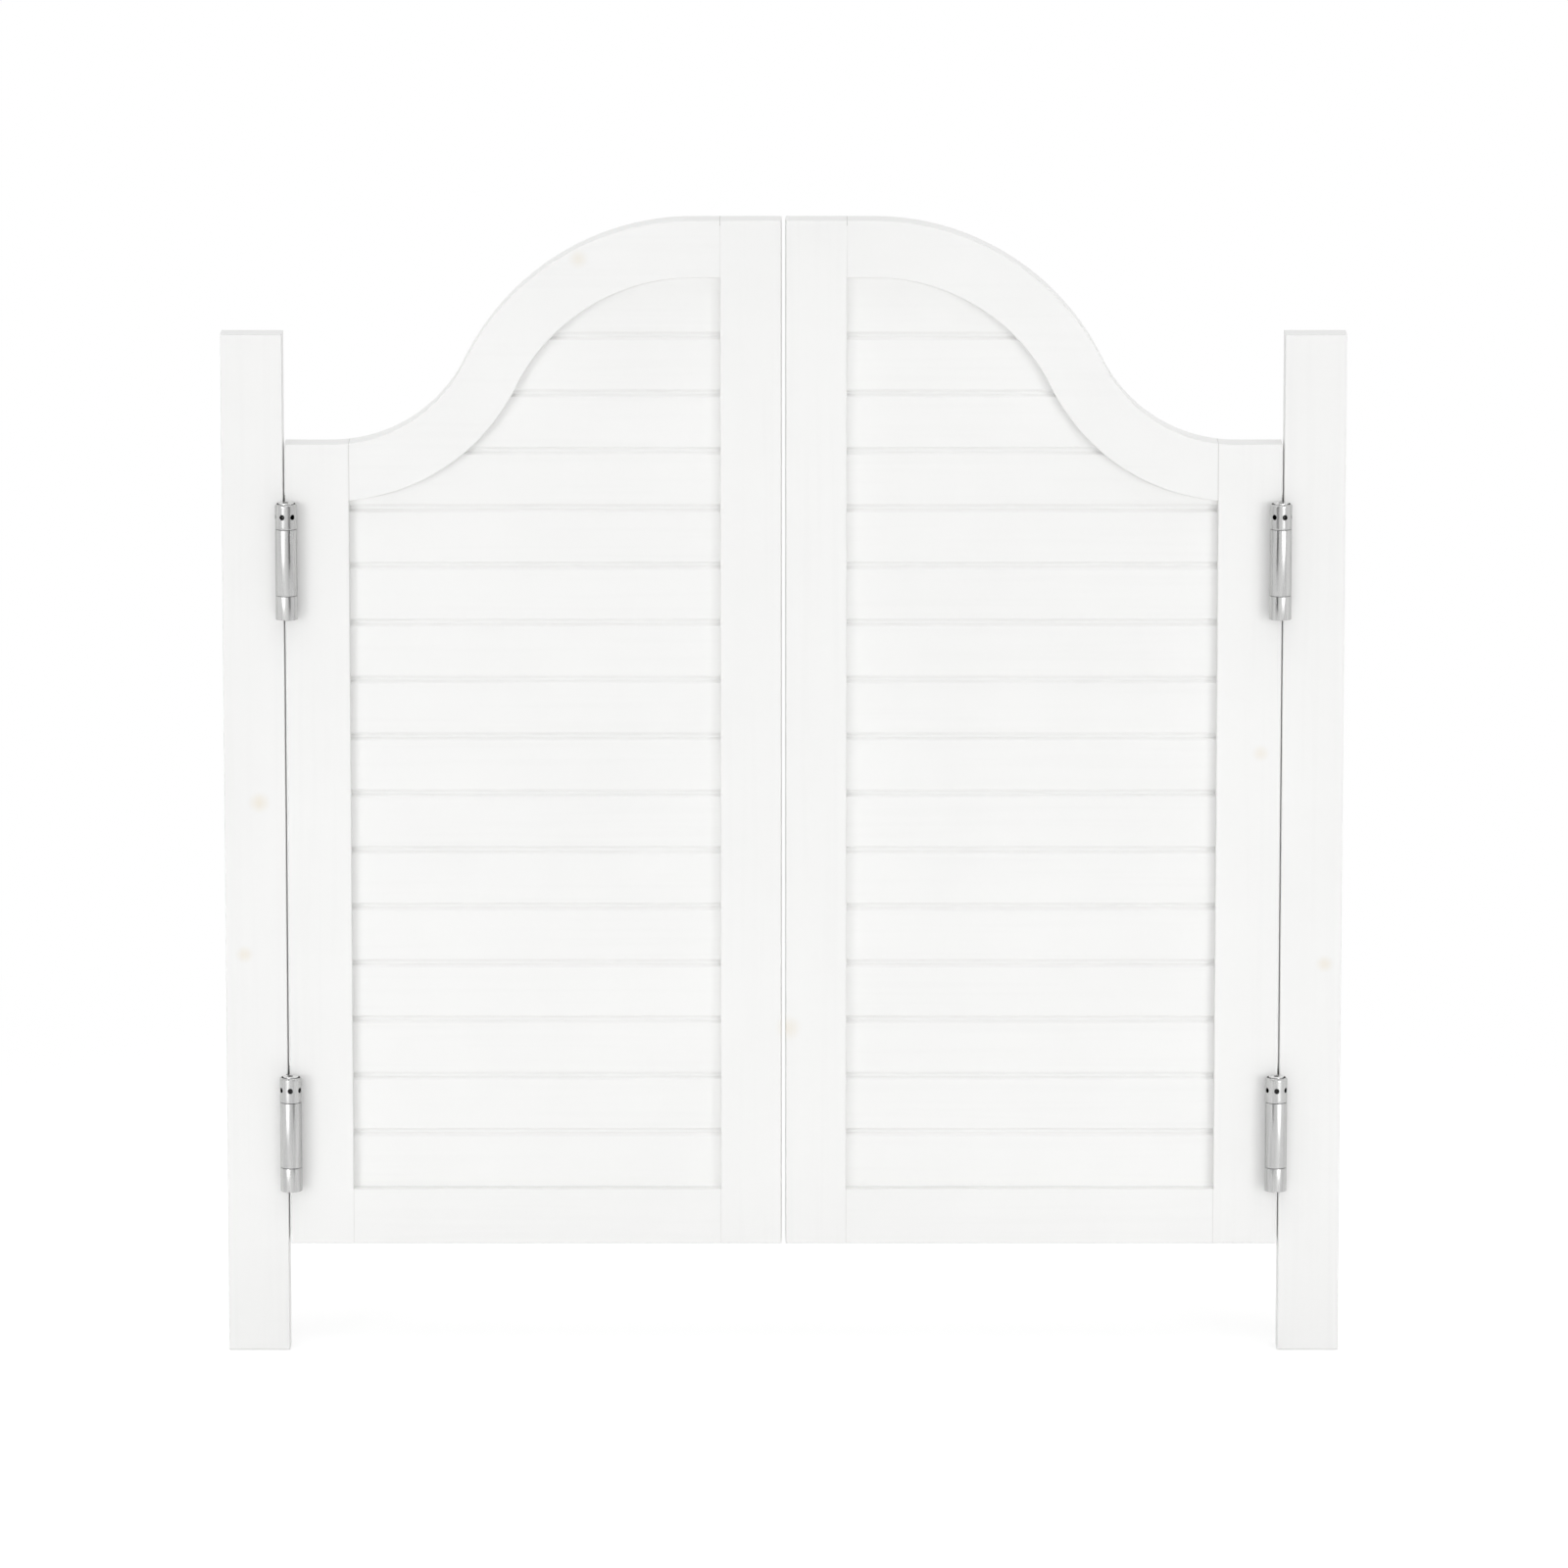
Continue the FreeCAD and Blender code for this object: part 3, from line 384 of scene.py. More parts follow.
def leaf(sizes, face, inward, entry):
    """A flat leaf with three countersunk holes, and the knuckle at its edge.

    The leaf is three rectangles one above another, each with its hole, on both of its faces. A
    cone joins each pair of holes, and a band joins the outlines of the two faces.
    """
    back = face + sizes.sheet * inward
    edge, far = LEAF_NEAR * entry, LEAF_FAR * entry
    levels = (0.0, *(sizes.height * share for share in LEAF_SPLITS), sizes.height)
    low_y, high_y = min(edge, far), max(edge, far)
    points = 8  # on each side of a rectangle, round from the foot of its low side
    surfaces, outline = [], {"right": [], "left": []}
    for row, (across, up) in enumerate(screw_places(sizes)):
        centre = (across * MM * entry, up * MM)
        corners = ((low_y, levels[row]), (high_y, levels[row + 1]))
        rims = {}
        for plane, radius in ((face, HEAD_HOLE), (back, SHANK_HOLE)):
            patch, _ = holed_patch(
                *corners, centre,
                lambda a, r=radius: np.column_stack([r * np.cos(a), r * np.sin(a)]), points,
            )
            grid = np.concatenate([np.full((*patch.shape[:2], 1), plane), patch], -1)
            surfaces.append((grid, False, True))
            rims[plane] = grid[0]
        surfaces.append((np.stack([rims[face], rims[back]]), False, True))
        side = surfaces[-2][0][-1]
        outline["right"].append(side[points : 2 * points + 1, 1:])
        outline["left"].append(side[np.r_[3 * points : 4 * points, 0], 1:][::-1])
        if row == 0:
            foot = side[: points + 1, 1:]
        if row == 2:
            head = side[2 * points : 3 * points + 1, 1:]
    left = np.concatenate(outline["left"])[::-1]
    loop = np.concatenate([foot, *outline["right"], head, left])
    band = [np.column_stack([np.full(len(loop), plane), loop]) for plane in (face, back)]
    surfaces.append((np.stack(band), False, True))
    neck_end = (sizes.axis_y - sizes.barrel_radius / 2) * entry
    neck = [(face, edge), (back, edge), (back, neck_end), (face, neck_end)]
    surfaces.append(prism(neck, 0.0, sizes.knuckle, FLAT_EASE))
    ring, rows, columns = knuckle(sizes)
    surfaces.append((ring + [0, sizes.axis_y * entry, 0], rows, columns))
    return surfaces


def collar(sizes, wound):
    """A turned collar with six radial holes for the tensioning bar.

    The outer wall is six holed patches rolled onto the cylinder: across becomes the turn,
    across / radius. A hole's rim lies where its own round outline meets the cylinder. The rest
    is a turned profile, and each hole is a bevelled round shaft that ends in a drilled cone.
    """
    radius, ease = sizes.barrel_radius, sizes.ease
    foot, head = sizes.height - sizes.collar, sizes.height
    middle = (foot + head) / 2
    half = radius * math.pi / TOMMY_HOLES
    bevel, cone = 0.25 * MM, 0.8 * MM
    rim_radius = sizes.tommy_radius + bevel

    def rim(angle):
        across = radius * np.arcsin(rim_radius * np.cos(angle) / radius)
        return np.column_stack([across, rim_radius * np.sin(angle)])

    shoulder = head - sizes.rim_bevel
    patch, angle = holed_patch(
        (-half, foot + ease - middle), (half, shoulder - ease - middle), (0, 0), rim,
        side_points=12, steps=6,
    )
    floor = head + sizes.head_rise - sizes.head_height
    bore, spigot = sizes.pin_radius + FIT, radius - sizes.sheet - FIT
    spigot_foot = foot - sizes.gap - sizes.spigot
    rest = eased(
        [
            (radius, shoulder), (radius - sizes.rim_bevel, head), (sizes.recess_radius, head),
            (sizes.recess_radius, floor), (bore, floor), (bore, spigot_foot),
            (spigot, spigot_foot), (spigot, foot), (radius, foot),
        ],
        ease,
    )
    between = 360 / TOMMY_HOLES
    start = wound - between / 2
    surfaces = [turned(rest, 72, start, start + 360, closed=False)]
    depths = np.array([0, bevel, sizes.tommy_depth, sizes.tommy_depth + cone])
    widths = np.array([rim_radius, sizes.tommy_radius, sizes.tommy_radius, 0])
    for hole in range(TOMMY_HOLES):
        facing = math.radians(wound + between * hole)
        turn = facing + patch[..., 0] / radius
        grid = np.stack([radius * np.sin(turn), -radius * np.cos(turn), patch[..., 1] + middle], -1)
        surfaces.append((grid, False, True))
        across = widths[:, None] * np.cos(angle)[None, :]
        out = np.sqrt(radius**2 - across**2) - depths[:, None]
        up = widths[:, None] * np.sin(angle)[None, :] + middle
        shaft = np.stack(
            [
                across * math.cos(facing) + out * math.sin(facing),
                across * math.sin(facing) - out * math.cos(facing),
                up,
            ],
            -1,
        )
        surfaces.append((shaft, False, True))
    return surfaces


def pin(sizes):
    """The hinge pin: a turned rod with a wide, eased head that has a round centre dimple."""
    head = sizes.height + sizes.head_rise
    under = head - sizes.head_height
    turn = np.linspace(0, np.pi / 2, 6)
    foot, ease, dimple_depth = 0.5 * MM, 0.3 * MM, 1.6 * MM
    shoulder = np.column_stack(
        [sizes.head_radius - ease * (1 - np.cos(turn)), head - ease * (1 - np.sin(turn))]
    )
    dip = np.linspace(1, 0, 8)
    dimple = np.column_stack([sizes.dimple_radius * dip, head - dimple_depth * (1 - dip**2)])
    radius = sizes.pin_radius
    rod = [(0, foot), (radius, foot), (radius, under), (sizes.head_radius, under)]
    profile = np.concatenate([rod, shoulder, dimple])
    return turned(profile, 72, closed=False)


def coil(sizes):
    """A closed coil of round wire: a circle carried along a helix.

    The wire's middle is (R sin t, -R cos t, pitch * t / 2 pi), and its section is drawn with the
    outward and upward directions. A flat disc closes each end.
    """
    wire, play = 1.0 * MM, 0.3 * MM
    closest_pitch = 2.04 * wire
    ring = sizes.barrel_radius - sizes.sheet - play - wire
    foot, head = barrel_ends(sizes)
    foot, head = foot + sizes.spigot + play + wire, head - sizes.spigot - play - wire
    turns = int((head - foot) / closest_pitch)
    along = np.linspace(0, turns * 2 * np.pi, turns * 20 + 1)[:, None]
    around = np.linspace(0, 2 * np.pi, 8, endpoint=False)[None, :]
    out = ring + wire * np.cos(around)
    up = foot + (head - foot) * along / (turns * 2 * np.pi) + wire * np.sin(around)
    grid = np.stack([out * np.sin(along), -out * np.cos(along), up], -1)
    surfaces = [(grid, False, True)]
    for section in (grid[0], grid[-1]):
        middle = np.repeat(section.mean(0)[None], len(section), 0)
        surfaces.append((np.stack([section, middle]), False, True))
    return surfaces


def screw(sizes, direction):
    """A countersunk wood screw along X with a cross recess in its head.

    The head's face is a disc of rings. Its depth at a point is 0 outside the cross and grows
    with the distance inside its outline. Behind it the profile is turned about the screw's axis,
    and a wave along the shank gives the thread's ridges.
    """
    rings = np.concatenate([np.linspace(0, 2.5, 20), [3.0, 3.5, 3.75]]) * MM
    around = np.linspace(0, 2 * np.pi, 48, endpoint=False)[None, :]
    u, v = rings[:, None] * np.cos(around), rings[:, None] * np.sin(around)
    arm, width, slope, deep = 2.1 * MM, 0.5 * MM, 0.35 * MM, 1.3 * MM
    upright = np.maximum(np.abs(u) - width, np.abs(v) - arm)
    level = np.maximum(np.abs(v) - width, np.abs(u) - arm)
    depth = np.clip(-np.minimum(upright, level) / slope, 0, 1) * deep
    face = np.stack([depth, u, v], -1)
    start, tip = sizes.sheet, sizes.sheet + 22 * MM
    neck, crest, valley, pitch = 1.7 * MM, 2.0 * MM, 1.55 * MM, 1.4 * MM
    thread = np.linspace(start + 5 * MM, tip - 4 * MM, 46)
    wave = 0.5 + 0.5 * np.cos((thread - thread[0]) * 2 * np.pi / pitch)
    head = [(0.05 * MM, 3.8 * MM), (start, crest), (start + 5 * MM, neck)]
    ridges = np.column_stack([thread, crest - (crest - valley) * wave])
    profile = np.concatenate([head, ridges, [(tip, 0)]])
    depths, radii = profile.T
    side = np.stack(
        [
            np.repeat(depths[:, None], 48, 1),
            radii[:, None] * np.cos(around),
            radii[:, None] * np.sin(around),
        ],
        -1,
    )
    rim = np.stack([face[-1], side[0]])
    out = [(face, False, True), (rim, False, True), (side, False, True)]
    return [(grid * [direction, 1, 1], rows, columns) for grid, rows, columns in out]


# ------------------------------------------------------------------ materials
def add_node(tree, kind, inputs=None, **settings):
    """Adds one node. inputs maps a socket's name or number to a value or another node's output."""
    made = tree.nodes.new(kind)
    for key, value in settings.items():
        setattr(made, key, value)
    for key, value in (inputs or {}).items():
        if isinstance(value, bpy.types.NodeSocket):
            tree.links.new(value, made.inputs[key])
        else:
            made.inputs[key].default_value = value
    return made


def new_material(name):
    """An empty material, with its node tree and its Principled shader."""
    material = bpy.data.materials.new(name)
    material.use_nodes = True
    tree = material.node_tree
    tree.nodes.clear()
    shader = add_node(tree, "ShaderNodeBsdfPrincipled")
    add_node(tree, "ShaderNodeOutputMaterial", {"Surface": shader.outputs[0]})
    return material, tree, shader


def math_node(tree, operation, first, second=0.0):
    return add_node(tree, "ShaderNodeMath", {0: first, 1: second}, operation=operation).outputs[0]


def ramp(tree, value, low, high, start=0.0, end=1.0, smooth=False):
    """Turns low to high into start to end, straight or in a smooth curve, and holds the ends."""
    return add_node(
        tree, "ShaderNodeMapRange", {0: value, 1: low, 2: high, 3: start, 4: end},
        interpolation_type="SMOOTHSTEP" if smooth else "LINEAR",
    ).outputs[0]


def blend(tree, factor, first, second):
    """The first colour where the factor is 0, and the second where it is 1."""
    return add_node(
        tree, "ShaderNodeMix", {0: factor, 6: first, 7: second}, data_type="RGBA"
    ).outputs[2]


def noise(tree, place, **inputs):
    """Smooth noise about 0.5, over a place."""
    inputs = {"Vector": place, "Scale": 1.0, **inputs}
    return add_node(tree, "ShaderNodeTexNoise", inputs).outputs[0]


def drawn_out(tree, place, run, across, along):
    """A place for noise whose grains are across wide, and along long in the run's direction."""
    scale = [1 / across] * 3
    scale["XYZ".index(run)] = 1 / along
    return add_node(tree, "ShaderNodeMapping", {"Vector": place, "Scale": scale}).outputs[0]


def mark(tree, across, up, centre, half_height, reach):
    """1 on an upright line or a spot on the face of the timber, falling to 0 at reach from it."""
    dx = math_node(tree, "SUBTRACT", across, centre[0])
    dz = math_node(tree, "ABSOLUTE", math_node(tree, "SUBTRACT", up, centre[1]))
    over = math_node(tree, "MAXIMUM", math_node(tree, "SUBTRACT", dz, half_height), 0.0)
    away = add_node(tree, "ShaderNodeCombineXYZ", {0: dx, 2: over}).outputs[0]
    distance = add_node(tree, "ShaderNodeVectorMath", {0: away}, operation="LENGTH").outputs[1]
    return ramp(tree, distance, 0.0, reach, 1.0, 0.0, smooth=True)


def painted_pine(name, look, grain, knots=(), joints=(), boards=None):
    """Planed pine under brushed white satin paint.

    The film is smooth and slightly soft-edged. Brush marks run along the timber, the harder
    summer wood stands a few hundredths of a millimetre proud under the paint, and resin tints
    the film over knots, each (x, z, reach, strength). A hairline follows each joint, given as
    (x, foot, head, strength). boards gives (foot, pitch), where the timber changes from one
    board to the next. Heights of the relief are in millimetres.
    """
    stroke_rise, ridge_rise, peel_rise, joint_depth = 0.012, 0.012, 0.01, 0.06
    joint_reach, arris = 0.45 * MM, 0.7 * MM
    board_jump = 0.731  # in metres, so that each board shows grain of its own
    material, tree, shader = new_material(name)
    place = add_node(tree, "ShaderNodeTexCoord").outputs["Object"]
    x, y, z = add_node(tree, "ShaderNodeSeparateXYZ", {0: place}).outputs
    timber = place
    if boards:
        level = math_node(tree, "DIVIDE", math_node(tree, "SUBTRACT", z, boards[0]), boards[1])
        jump = math_node(tree, "MULTIPLY", math_node(tree, "FLOOR", level), board_jump)
        shift = add_node(tree, "ShaderNodeCombineXYZ", {0: jump, 1: jump}).outputs[0]
        timber = add_node(
            tree, "ShaderNodeVectorMath", {0: place, 1: shift}, operation="ADD"
        ).outputs[0]

    along_strokes = drawn_out(tree, timber, grain, look.stroke, look.stroke * 45)
    strokes = noise(tree, along_strokes, Detail=4.0, Roughness=0.6)
    along_rings = drawn_out(tree, timber, grain, look.ring, look.ring * 42)
    rings = noise(tree, along_rings, Detail=2.0, Distortion=0.35)
    ridges = ramp(tree, rings, 0.5, 0.66, smooth=True)
    film = noise(tree, place, Scale=9.0, Detail=3.0)
    peel = noise(tree, place, Scale=380.0, Detail=2.0)

    thin = ramp(tree, film, 0.35, 0.7, 0.0, 0.7)
    thin = math_node(tree, "ADD", thin, math_node(tree, "MULTIPLY", ridges, 0.3))
    tone = blend(tree, thin, look.white, look.shade)
    height = math_node(tree, "MULTIPLY", strokes, stroke_rise)
    for layer, rise in ((ridges, ridge_rise), (peel, peel_rise)):
        height = math_node(tree, "ADD", height, math_node(tree, "MULTIPLY", layer, rise))
    for centre_x, centre_z, reach, strength in knots:
        spot = mark(tree, x, z, (centre_x, centre_z), 0.0, reach)
        ragged = math_node(tree, "MULTIPLY", spot, math_node(tree, "ADD", strokes, 0.35))
        tone = blend(tree, math_node(tree, "MULTIPLY", ragged, strength), tone, look.stain)
    for centre_x, low, high, strength in joints:
        line = mark(tree, x, z, (centre_x, (low + high) / 2), (high - low) / 2, joint_reach)
        line = math_node(tree, "MULTIPLY", line, strength)
        tone = blend(tree, line, tone, look.crack)
        sunk = math_node(tree, "MULTIPLY", line, joint_depth)
        height = math_node(tree, "SUBTRACT", height, sunk)
    soft = add_node(tree, "ShaderNodeBevel", {"Radius": arris}, samples=4).outputs[0]
    bump = add_node(
        tree, "ShaderNodeBump", {"Height": height, "Distance": MM, "Normal": soft, "Strength": 1.0}
    ).outputs[0]
    sheen = ramp(tree, strokes, 0.3, 0.7, look.roughness - 0.05, look.roughness + 0.07)
    tree.links.new(tone, shader.inputs["Base Color"])
    tree.links.new(sheen, shader.inputs["Roughness"])
    tree.links.new(bump, shader.inputs["Normal"])
    shader.inputs["IOR"].default_value = 1.5
    return material


def bore_shade_mask(tree, place, sizes, bore, mouth):
    """Mask of the painted shade: 1 where the metal lies nearer to its barrel's axis than the bore,
    and 0 outside it.

    Near the head of a hinge the mouth takes the place of the bore. The distance from the axis is
    the length of (|x| - axis x, |y| - axis y), and the height above the hinge's own foot is z
    less the foot of the lower or the upper hinge.
    """
    mouth_depth, blur = 2 * MM, 0.04 * MM
    x, y, z = add_node(tree, "ShaderNodeSeparateXYZ", {0: place}).outputs
    dx = math_node(tree, "SUBTRACT", math_node(tree, "ABSOLUTE", x), sizes.axis_x)
    dy = math_node(tree, "SUBTRACT", math_node(tree, "ABSOLUTE", y), sizes.axis_y)
    away = add_node(tree, "ShaderNodeCombineXYZ", {0: dx, 1: dy}).outputs[0]
    radius = add_node(tree, "ShaderNodeVectorMath", {0: away}, operation="LENGTH").outputs[1]
    between = (sizes.foot_low + sizes.foot_high + sizes.height) / 2
    upper = math_node(tree, "GREATER_THAN", z, between)
    step = math_node(tree, "MULTIPLY", upper, sizes.foot_high - sizes.foot_low)
    height = math_node(tree, "SUBTRACT", math_node(tree, "SUBTRACT", z, sizes.foot_low), step)
    head = math_node(tree, "GREATER_THAN", height, sizes.height - mouth_depth)
    limit = math_node(tree, "MULTIPLY", head, mouth - bore)
    limit = math_node(tree, "ADD", limit, bore)
    return ramp(tree, math_node(tree, "SUBTRACT", radius, limit), -blur, blur, 1.0, 0.0)


def drawn_steel(name, look, run, level=1.0, sizes=None, bore=0.0, mouth=0.0):
    """Satin stainless steel, drawn and brushed along one direction.

    The draw marks are fine parallel streaks of lighter and duller metal, long along the run. A
    slow change across the tube gives the soft bands of a worked surface. Inside its bore, and in
    recesses and joints near the axis, the steel is painted dark as shade, so that holes and
    joints read as deep. level scales how bright it is.
    """
    material, tree, shader = new_material(name)
    place = add_node(tree, "ShaderNodeTexCoord").outputs["Object"]
    fine = drawn_out(tree, place, run, look.streak * 0.35, look.streak * 40)
    fine = noise(tree, fine, Detail=3.0)
    broad = drawn_out(tree, place, run, look.streak * 4, look.streak * 130)
    broad = noise(tree, broad, Detail=1.0)
    fine_part = math_node(tree, "MULTIPLY", fine, 0.45)
    both = math_node(tree, "ADD", fine_part, math_node(tree, "MULTIPLY", broad, 0.55))
    spread = ramp(tree, both, 0.34, 0.66)
    bright = [c * level for c in look.bright[:3]] + [1.0]
    dull = [c * level for c in look.dull[:3]] + [1.0]
    tone = blend(tree, spread, dull, bright)
    # painted shade: inside the bore mask the steel takes a dark colour, so holes, recesses and
    # joints look shaded
    if bore:
        tone = blend(tree, bore_shade_mask(tree, place, sizes, bore, mouth), tone, look.bore_shade)
    rough = ramp(tree, fine, 0.3, 0.7, look.roughness + 0.08, look.roughness - 0.06)
    arris, mark_rise = 0.15 * MM, 0.004
    soft = add_node(tree, "ShaderNodeBevel", {"Radius": arris}, samples=4).outputs[0]
    height = math_node(tree, "MULTIPLY", fine, mark_rise)
    bump = add_node(
        tree, "ShaderNodeBump", {"Height": height, "Distance": MM, "Normal": soft}
    ).outputs[0]
    tree.links.new(tone, shader.inputs["Base Color"])
    tree.links.new(rough, shader.inputs["Roughness"])
    tree.links.new(bump, shader.inputs["Normal"])
    shader.inputs["Metallic"].default_value = 1.0
    return material


def give(node, material):
    """Gives a CAD node its material in every slot."""
    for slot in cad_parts[node].material_slots:
        slot.material = material


# ------------------------------------------------------------------ operators
class CAFE_OT_paint_posts(bpy.types.Operator):
    """Paint the two wall posts"""

    bl_idname = "cafe.paint_posts"
    bl_label = "Paint Posts"

    def execute(self, context):
        look = context.scene.cafe_paint
        knots = (
            (-0.4286, 0.459, 0.011, 0.55), (-0.4417, 0.3325, 0.009, 0.5),
            (0.4434, 0.3245, 0.009, 0.5),
        )
        material = painted_pine("painted pine, upright", look, "Z", knots)
        for side in SIDES:
            give(f"{side}_post", material)
        return {"FINISHED"}


class CAFE_OT_paint_frames(bpy.types.Operator):
    """Paint the stiles and rails of both doors"""

    bl_idname = "cafe.paint_frames"
    bl_label = "Paint Door Frames"

    def execute(self, context):
        look = context.scene.cafe_paint
        rail_low, rail_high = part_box("left_bottom_rail")
        stile_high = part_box("left_hinge_stile")[1]
        meeting_low, meeting_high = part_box("left_meeting_stile")
        shoulder, crown = stile_high.z, meeting_high.z
        shoulder_joint, crown_joint = 0.047, 0.004
        joints = []
        for sign in (1, -1):
            hinge_joint, meeting_joint = stile_high.x * sign, meeting_low.x * sign
            joints.append((hinge_joint, rail_low.z, rail_high.z, 0.3))
            joints.append((hinge_joint, shoulder - shoulder_joint, shoulder, 0.8))
            joints.append((meeting_joint, rail_low.z, rail_high.z, 0.3))
            joints.append((meeting_joint, crown - crown_joint, crown, 0.9))
        stile_knots = ((0.3897, 0.5, 0.009, 0.4), (0.004, 0.271, 0.013, 0.45))
        rail_knots = ((-0.1662, 0.907, 0.01, 0.4),)
        upright = painted_pine("painted pine, stiles", look, "Z", stile_knots, joints)
        level = painted_pine("painted pine, rails", look, "X", rail_knots, joints)
        for side in SIDES:
            for part in ("hinge_stile", "meeting_stile"):
                give(f"{side}_{part}", upright)
            for part in ("bottom_rail", "arch_rail"):
                give(f"{side}_{part}", level)
        return {"FINISHED"}


class CAFE_OT_paint_boards(bpy.types.Operator):
    """Paint the channel boards of both panels"""

    bl_idname = "cafe.paint_boards"
    bl_label = "Paint Boards"

    def execute(self, context):
        first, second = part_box(BOARDS[1])[0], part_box(BOARDS[2])[0]
        pitch = second.z - first.z
        look = context.scene.cafe_paint
        material = painted_pine("painted pine, boards", look, "X", boards=(first.z, pitch))
        for side in SIDES:
            for node in BOARDS:
                give(node.replace("left", side), material)
        return {"FINISHED"}


class HingeOperator:
    """What the operators for hinge pieces share: one piece for each side, on both hinges.

    level scales how bright the steel is. Nearer to the axis than bore, or than mouth close to
    the head of the hinge, the steel is painted dark as shade.
    """

    node = ""
    body = "{side}_web"
    slot = "satin_steel"
    run = "Z"
    level = 1.0
    # radii inside which the steel is painted dark as shade
    bore = mouth = 8.72 * MM

    def surfaces(self, sizes, seat):
        raise NotImplementedError

    def execute(self, context):
        sizes, look = context.scene.cafe_hinge, context.scene.cafe_steel
        material = drawn_steel(
            self.finish, look, self.run, self.level, sizes, self.bore, self.mouth
        )
        for side, over in SIDES.items():
            grids = []
            for seat, foot in (("lower", sizes.foot_low), ("upper", sizes.foot_high)):
                for surface in self.surfaces(sizes, seat):
                    grids.append(moved(surface, (-sizes.axis_x, 0, foot), over))
            node, body = f"{side}_{self.node}", self.body.format(side=side)
            make_piece(f"{node}_finished", grids, material, body, [node], self.slot)
        return {"FINISHED"}


class CAFE_OT_middle_leaves(HingeOperator, bpy.types.Operator):
    """Make the middle leaves with their rolled barrels"""

    bl_idname = "cafe.middle_leaves"
    bl_label = "Make Middle Leaves"
    node = "middle_leaves"
    finish = "satin stainless steel, rolled sheet"

    def surfaces(self, sizes, seat):
        return middle_leaf(sizes)


class CAFE_OT_jamb_leaves(HingeOperator, bpy.types.Operator):
    """Make the leaves on the posts"""

    bl_idname = "cafe.jamb_leaves"
    bl_label = "Make Jamb Leaves"
    node = "jamb_leaves"
    body = "posts"
    finish = "satin stainless steel, jamb leaf"

    def surfaces(self, sizes, seat):
        return leaf(sizes, -sizes.gap_far, -1, -1)


class CAFE_OT_door_leaves(HingeOperator, bpy.types.Operator):
    """Make the leaves on the doors"""

    bl_idname = "cafe.door_leaves"
    bl_label = "Make Door Leaves"
    node = "door_leaves"
    body = "{side}_door"
    finish = "satin stainless steel, door leaf"

    def surfaces(self, sizes, seat):
        return leaf(sizes, -sizes.gap_near, 1, 1)


class CAFE_OT_collars(HingeOperator, bpy.types.Operator):
    """Make the tension collars"""

    bl_idname = "cafe.collars"
    bl_label = "Make Tension Collars"
    node = "tension_collars"
    finish = "satin stainless steel, turned collar"
    mouth = 7.66 * MM

    def surfaces(self, sizes, seat):
        winding = sizes.upper_turn if seat == "upper" else 0.0
        return on_both_axes(sizes, lambda side: collar(sizes, winding * side))


class CAFE_OT_pins(HingeOperator, bpy.types.Operator):
    """Make the hinge pins"""

    bl_idname = "cafe.pins"
    bl_label = "Make Hinge Pins"
    node = "hinge_pins"
    finish = "satin stainless steel, riveted pin"
    level = 1.45
    bore = mouth = 2.25 * MM

    def surfaces(self, sizes, seat):
        return on_both_axes(sizes, lambda side: [pin(sizes)])


class CAFE_OT_springs(HingeOperator, bpy.types.Operator):
    """Make the coil springs inside the barrels"""

    bl_idname = "cafe.springs"
    bl_label = "Make Springs"
    node = "hinge_springs"
    slot = "spring_steel"
    level = 0.3
    bore = 0.0
    finish = "oiled spring wire"

    def surfaces(self, sizes, seat):
        return on_both_axes(sizes, lambda side: coil(sizes))


class CAFE_OT_jamb_screws(HingeOperator, bpy.types.Operator):
    """Make the screws of the jamb leaves"""

    bl_idname = "cafe.jamb_screws"
    bl_label = "Make Jamb Screws"
    node = "jamb_screws"
    body = "posts"
    slot = "screw_steel"
    run = "X"
    bore = 0.0
    finish = "zinc-plated screw, jamb"
    face, direction, entry = "gap_far", -1, -1

    def surfaces(self, sizes, seat):
        for across, up in screw_places(sizes):
            place = [-getattr(sizes, self.face), across * MM * self.entry, up * MM]
            for grid, rows, columns in screw(sizes, self.direction):
                yield grid + place, rows, columns


class CAFE_OT_door_screws(CAFE_OT_jamb_screws):
    """Make the screws of the door leaves"""

    bl_idname = "cafe.door_screws"
    bl_label = "Make Door Screws"
    node = "door_screws"
    body = "{side}_door"
    finish = "zinc-plated screw, door"
    face, direction, entry = "gap_near", 1, 1


def area_lamp(name, place, aim, size, power, spread=180, mirrored=True):
    """A soft box at a place, facing a point. A grid on it keeps its light within spread degrees."""
    data = bpy.data.lights.new(name, "AREA")
    data.shape = "RECTANGLE"
    data.size, data.size_y = size
    data.energy = power
    data.spread = math.radians(spread)
    lamp = bpy.data.objects.new(name, data)
    bpy.context.scene.collection.objects.link(lamp)
    lamp.location = place
    lamp.rotation_euler = (Vector(aim) - Vector(place)).to_track_quat("-Z", "Y").to_euler()
    lamp.visible_glossy = mirrored


def direct_rays(tree):
    """Light Path's outputs, and 1 for rays of the camera, mirrored rays and transmitted rays."""
    rays = add_node(tree, "ShaderNodeLightPath").outputs
    seen = math_node(tree, "MAXIMUM", rays["Is Camera Ray"], rays["Is Glossy Ray"])
    return rays, math_node(tree, "MAXIMUM", seen, rays["Is Transmission Ray"])


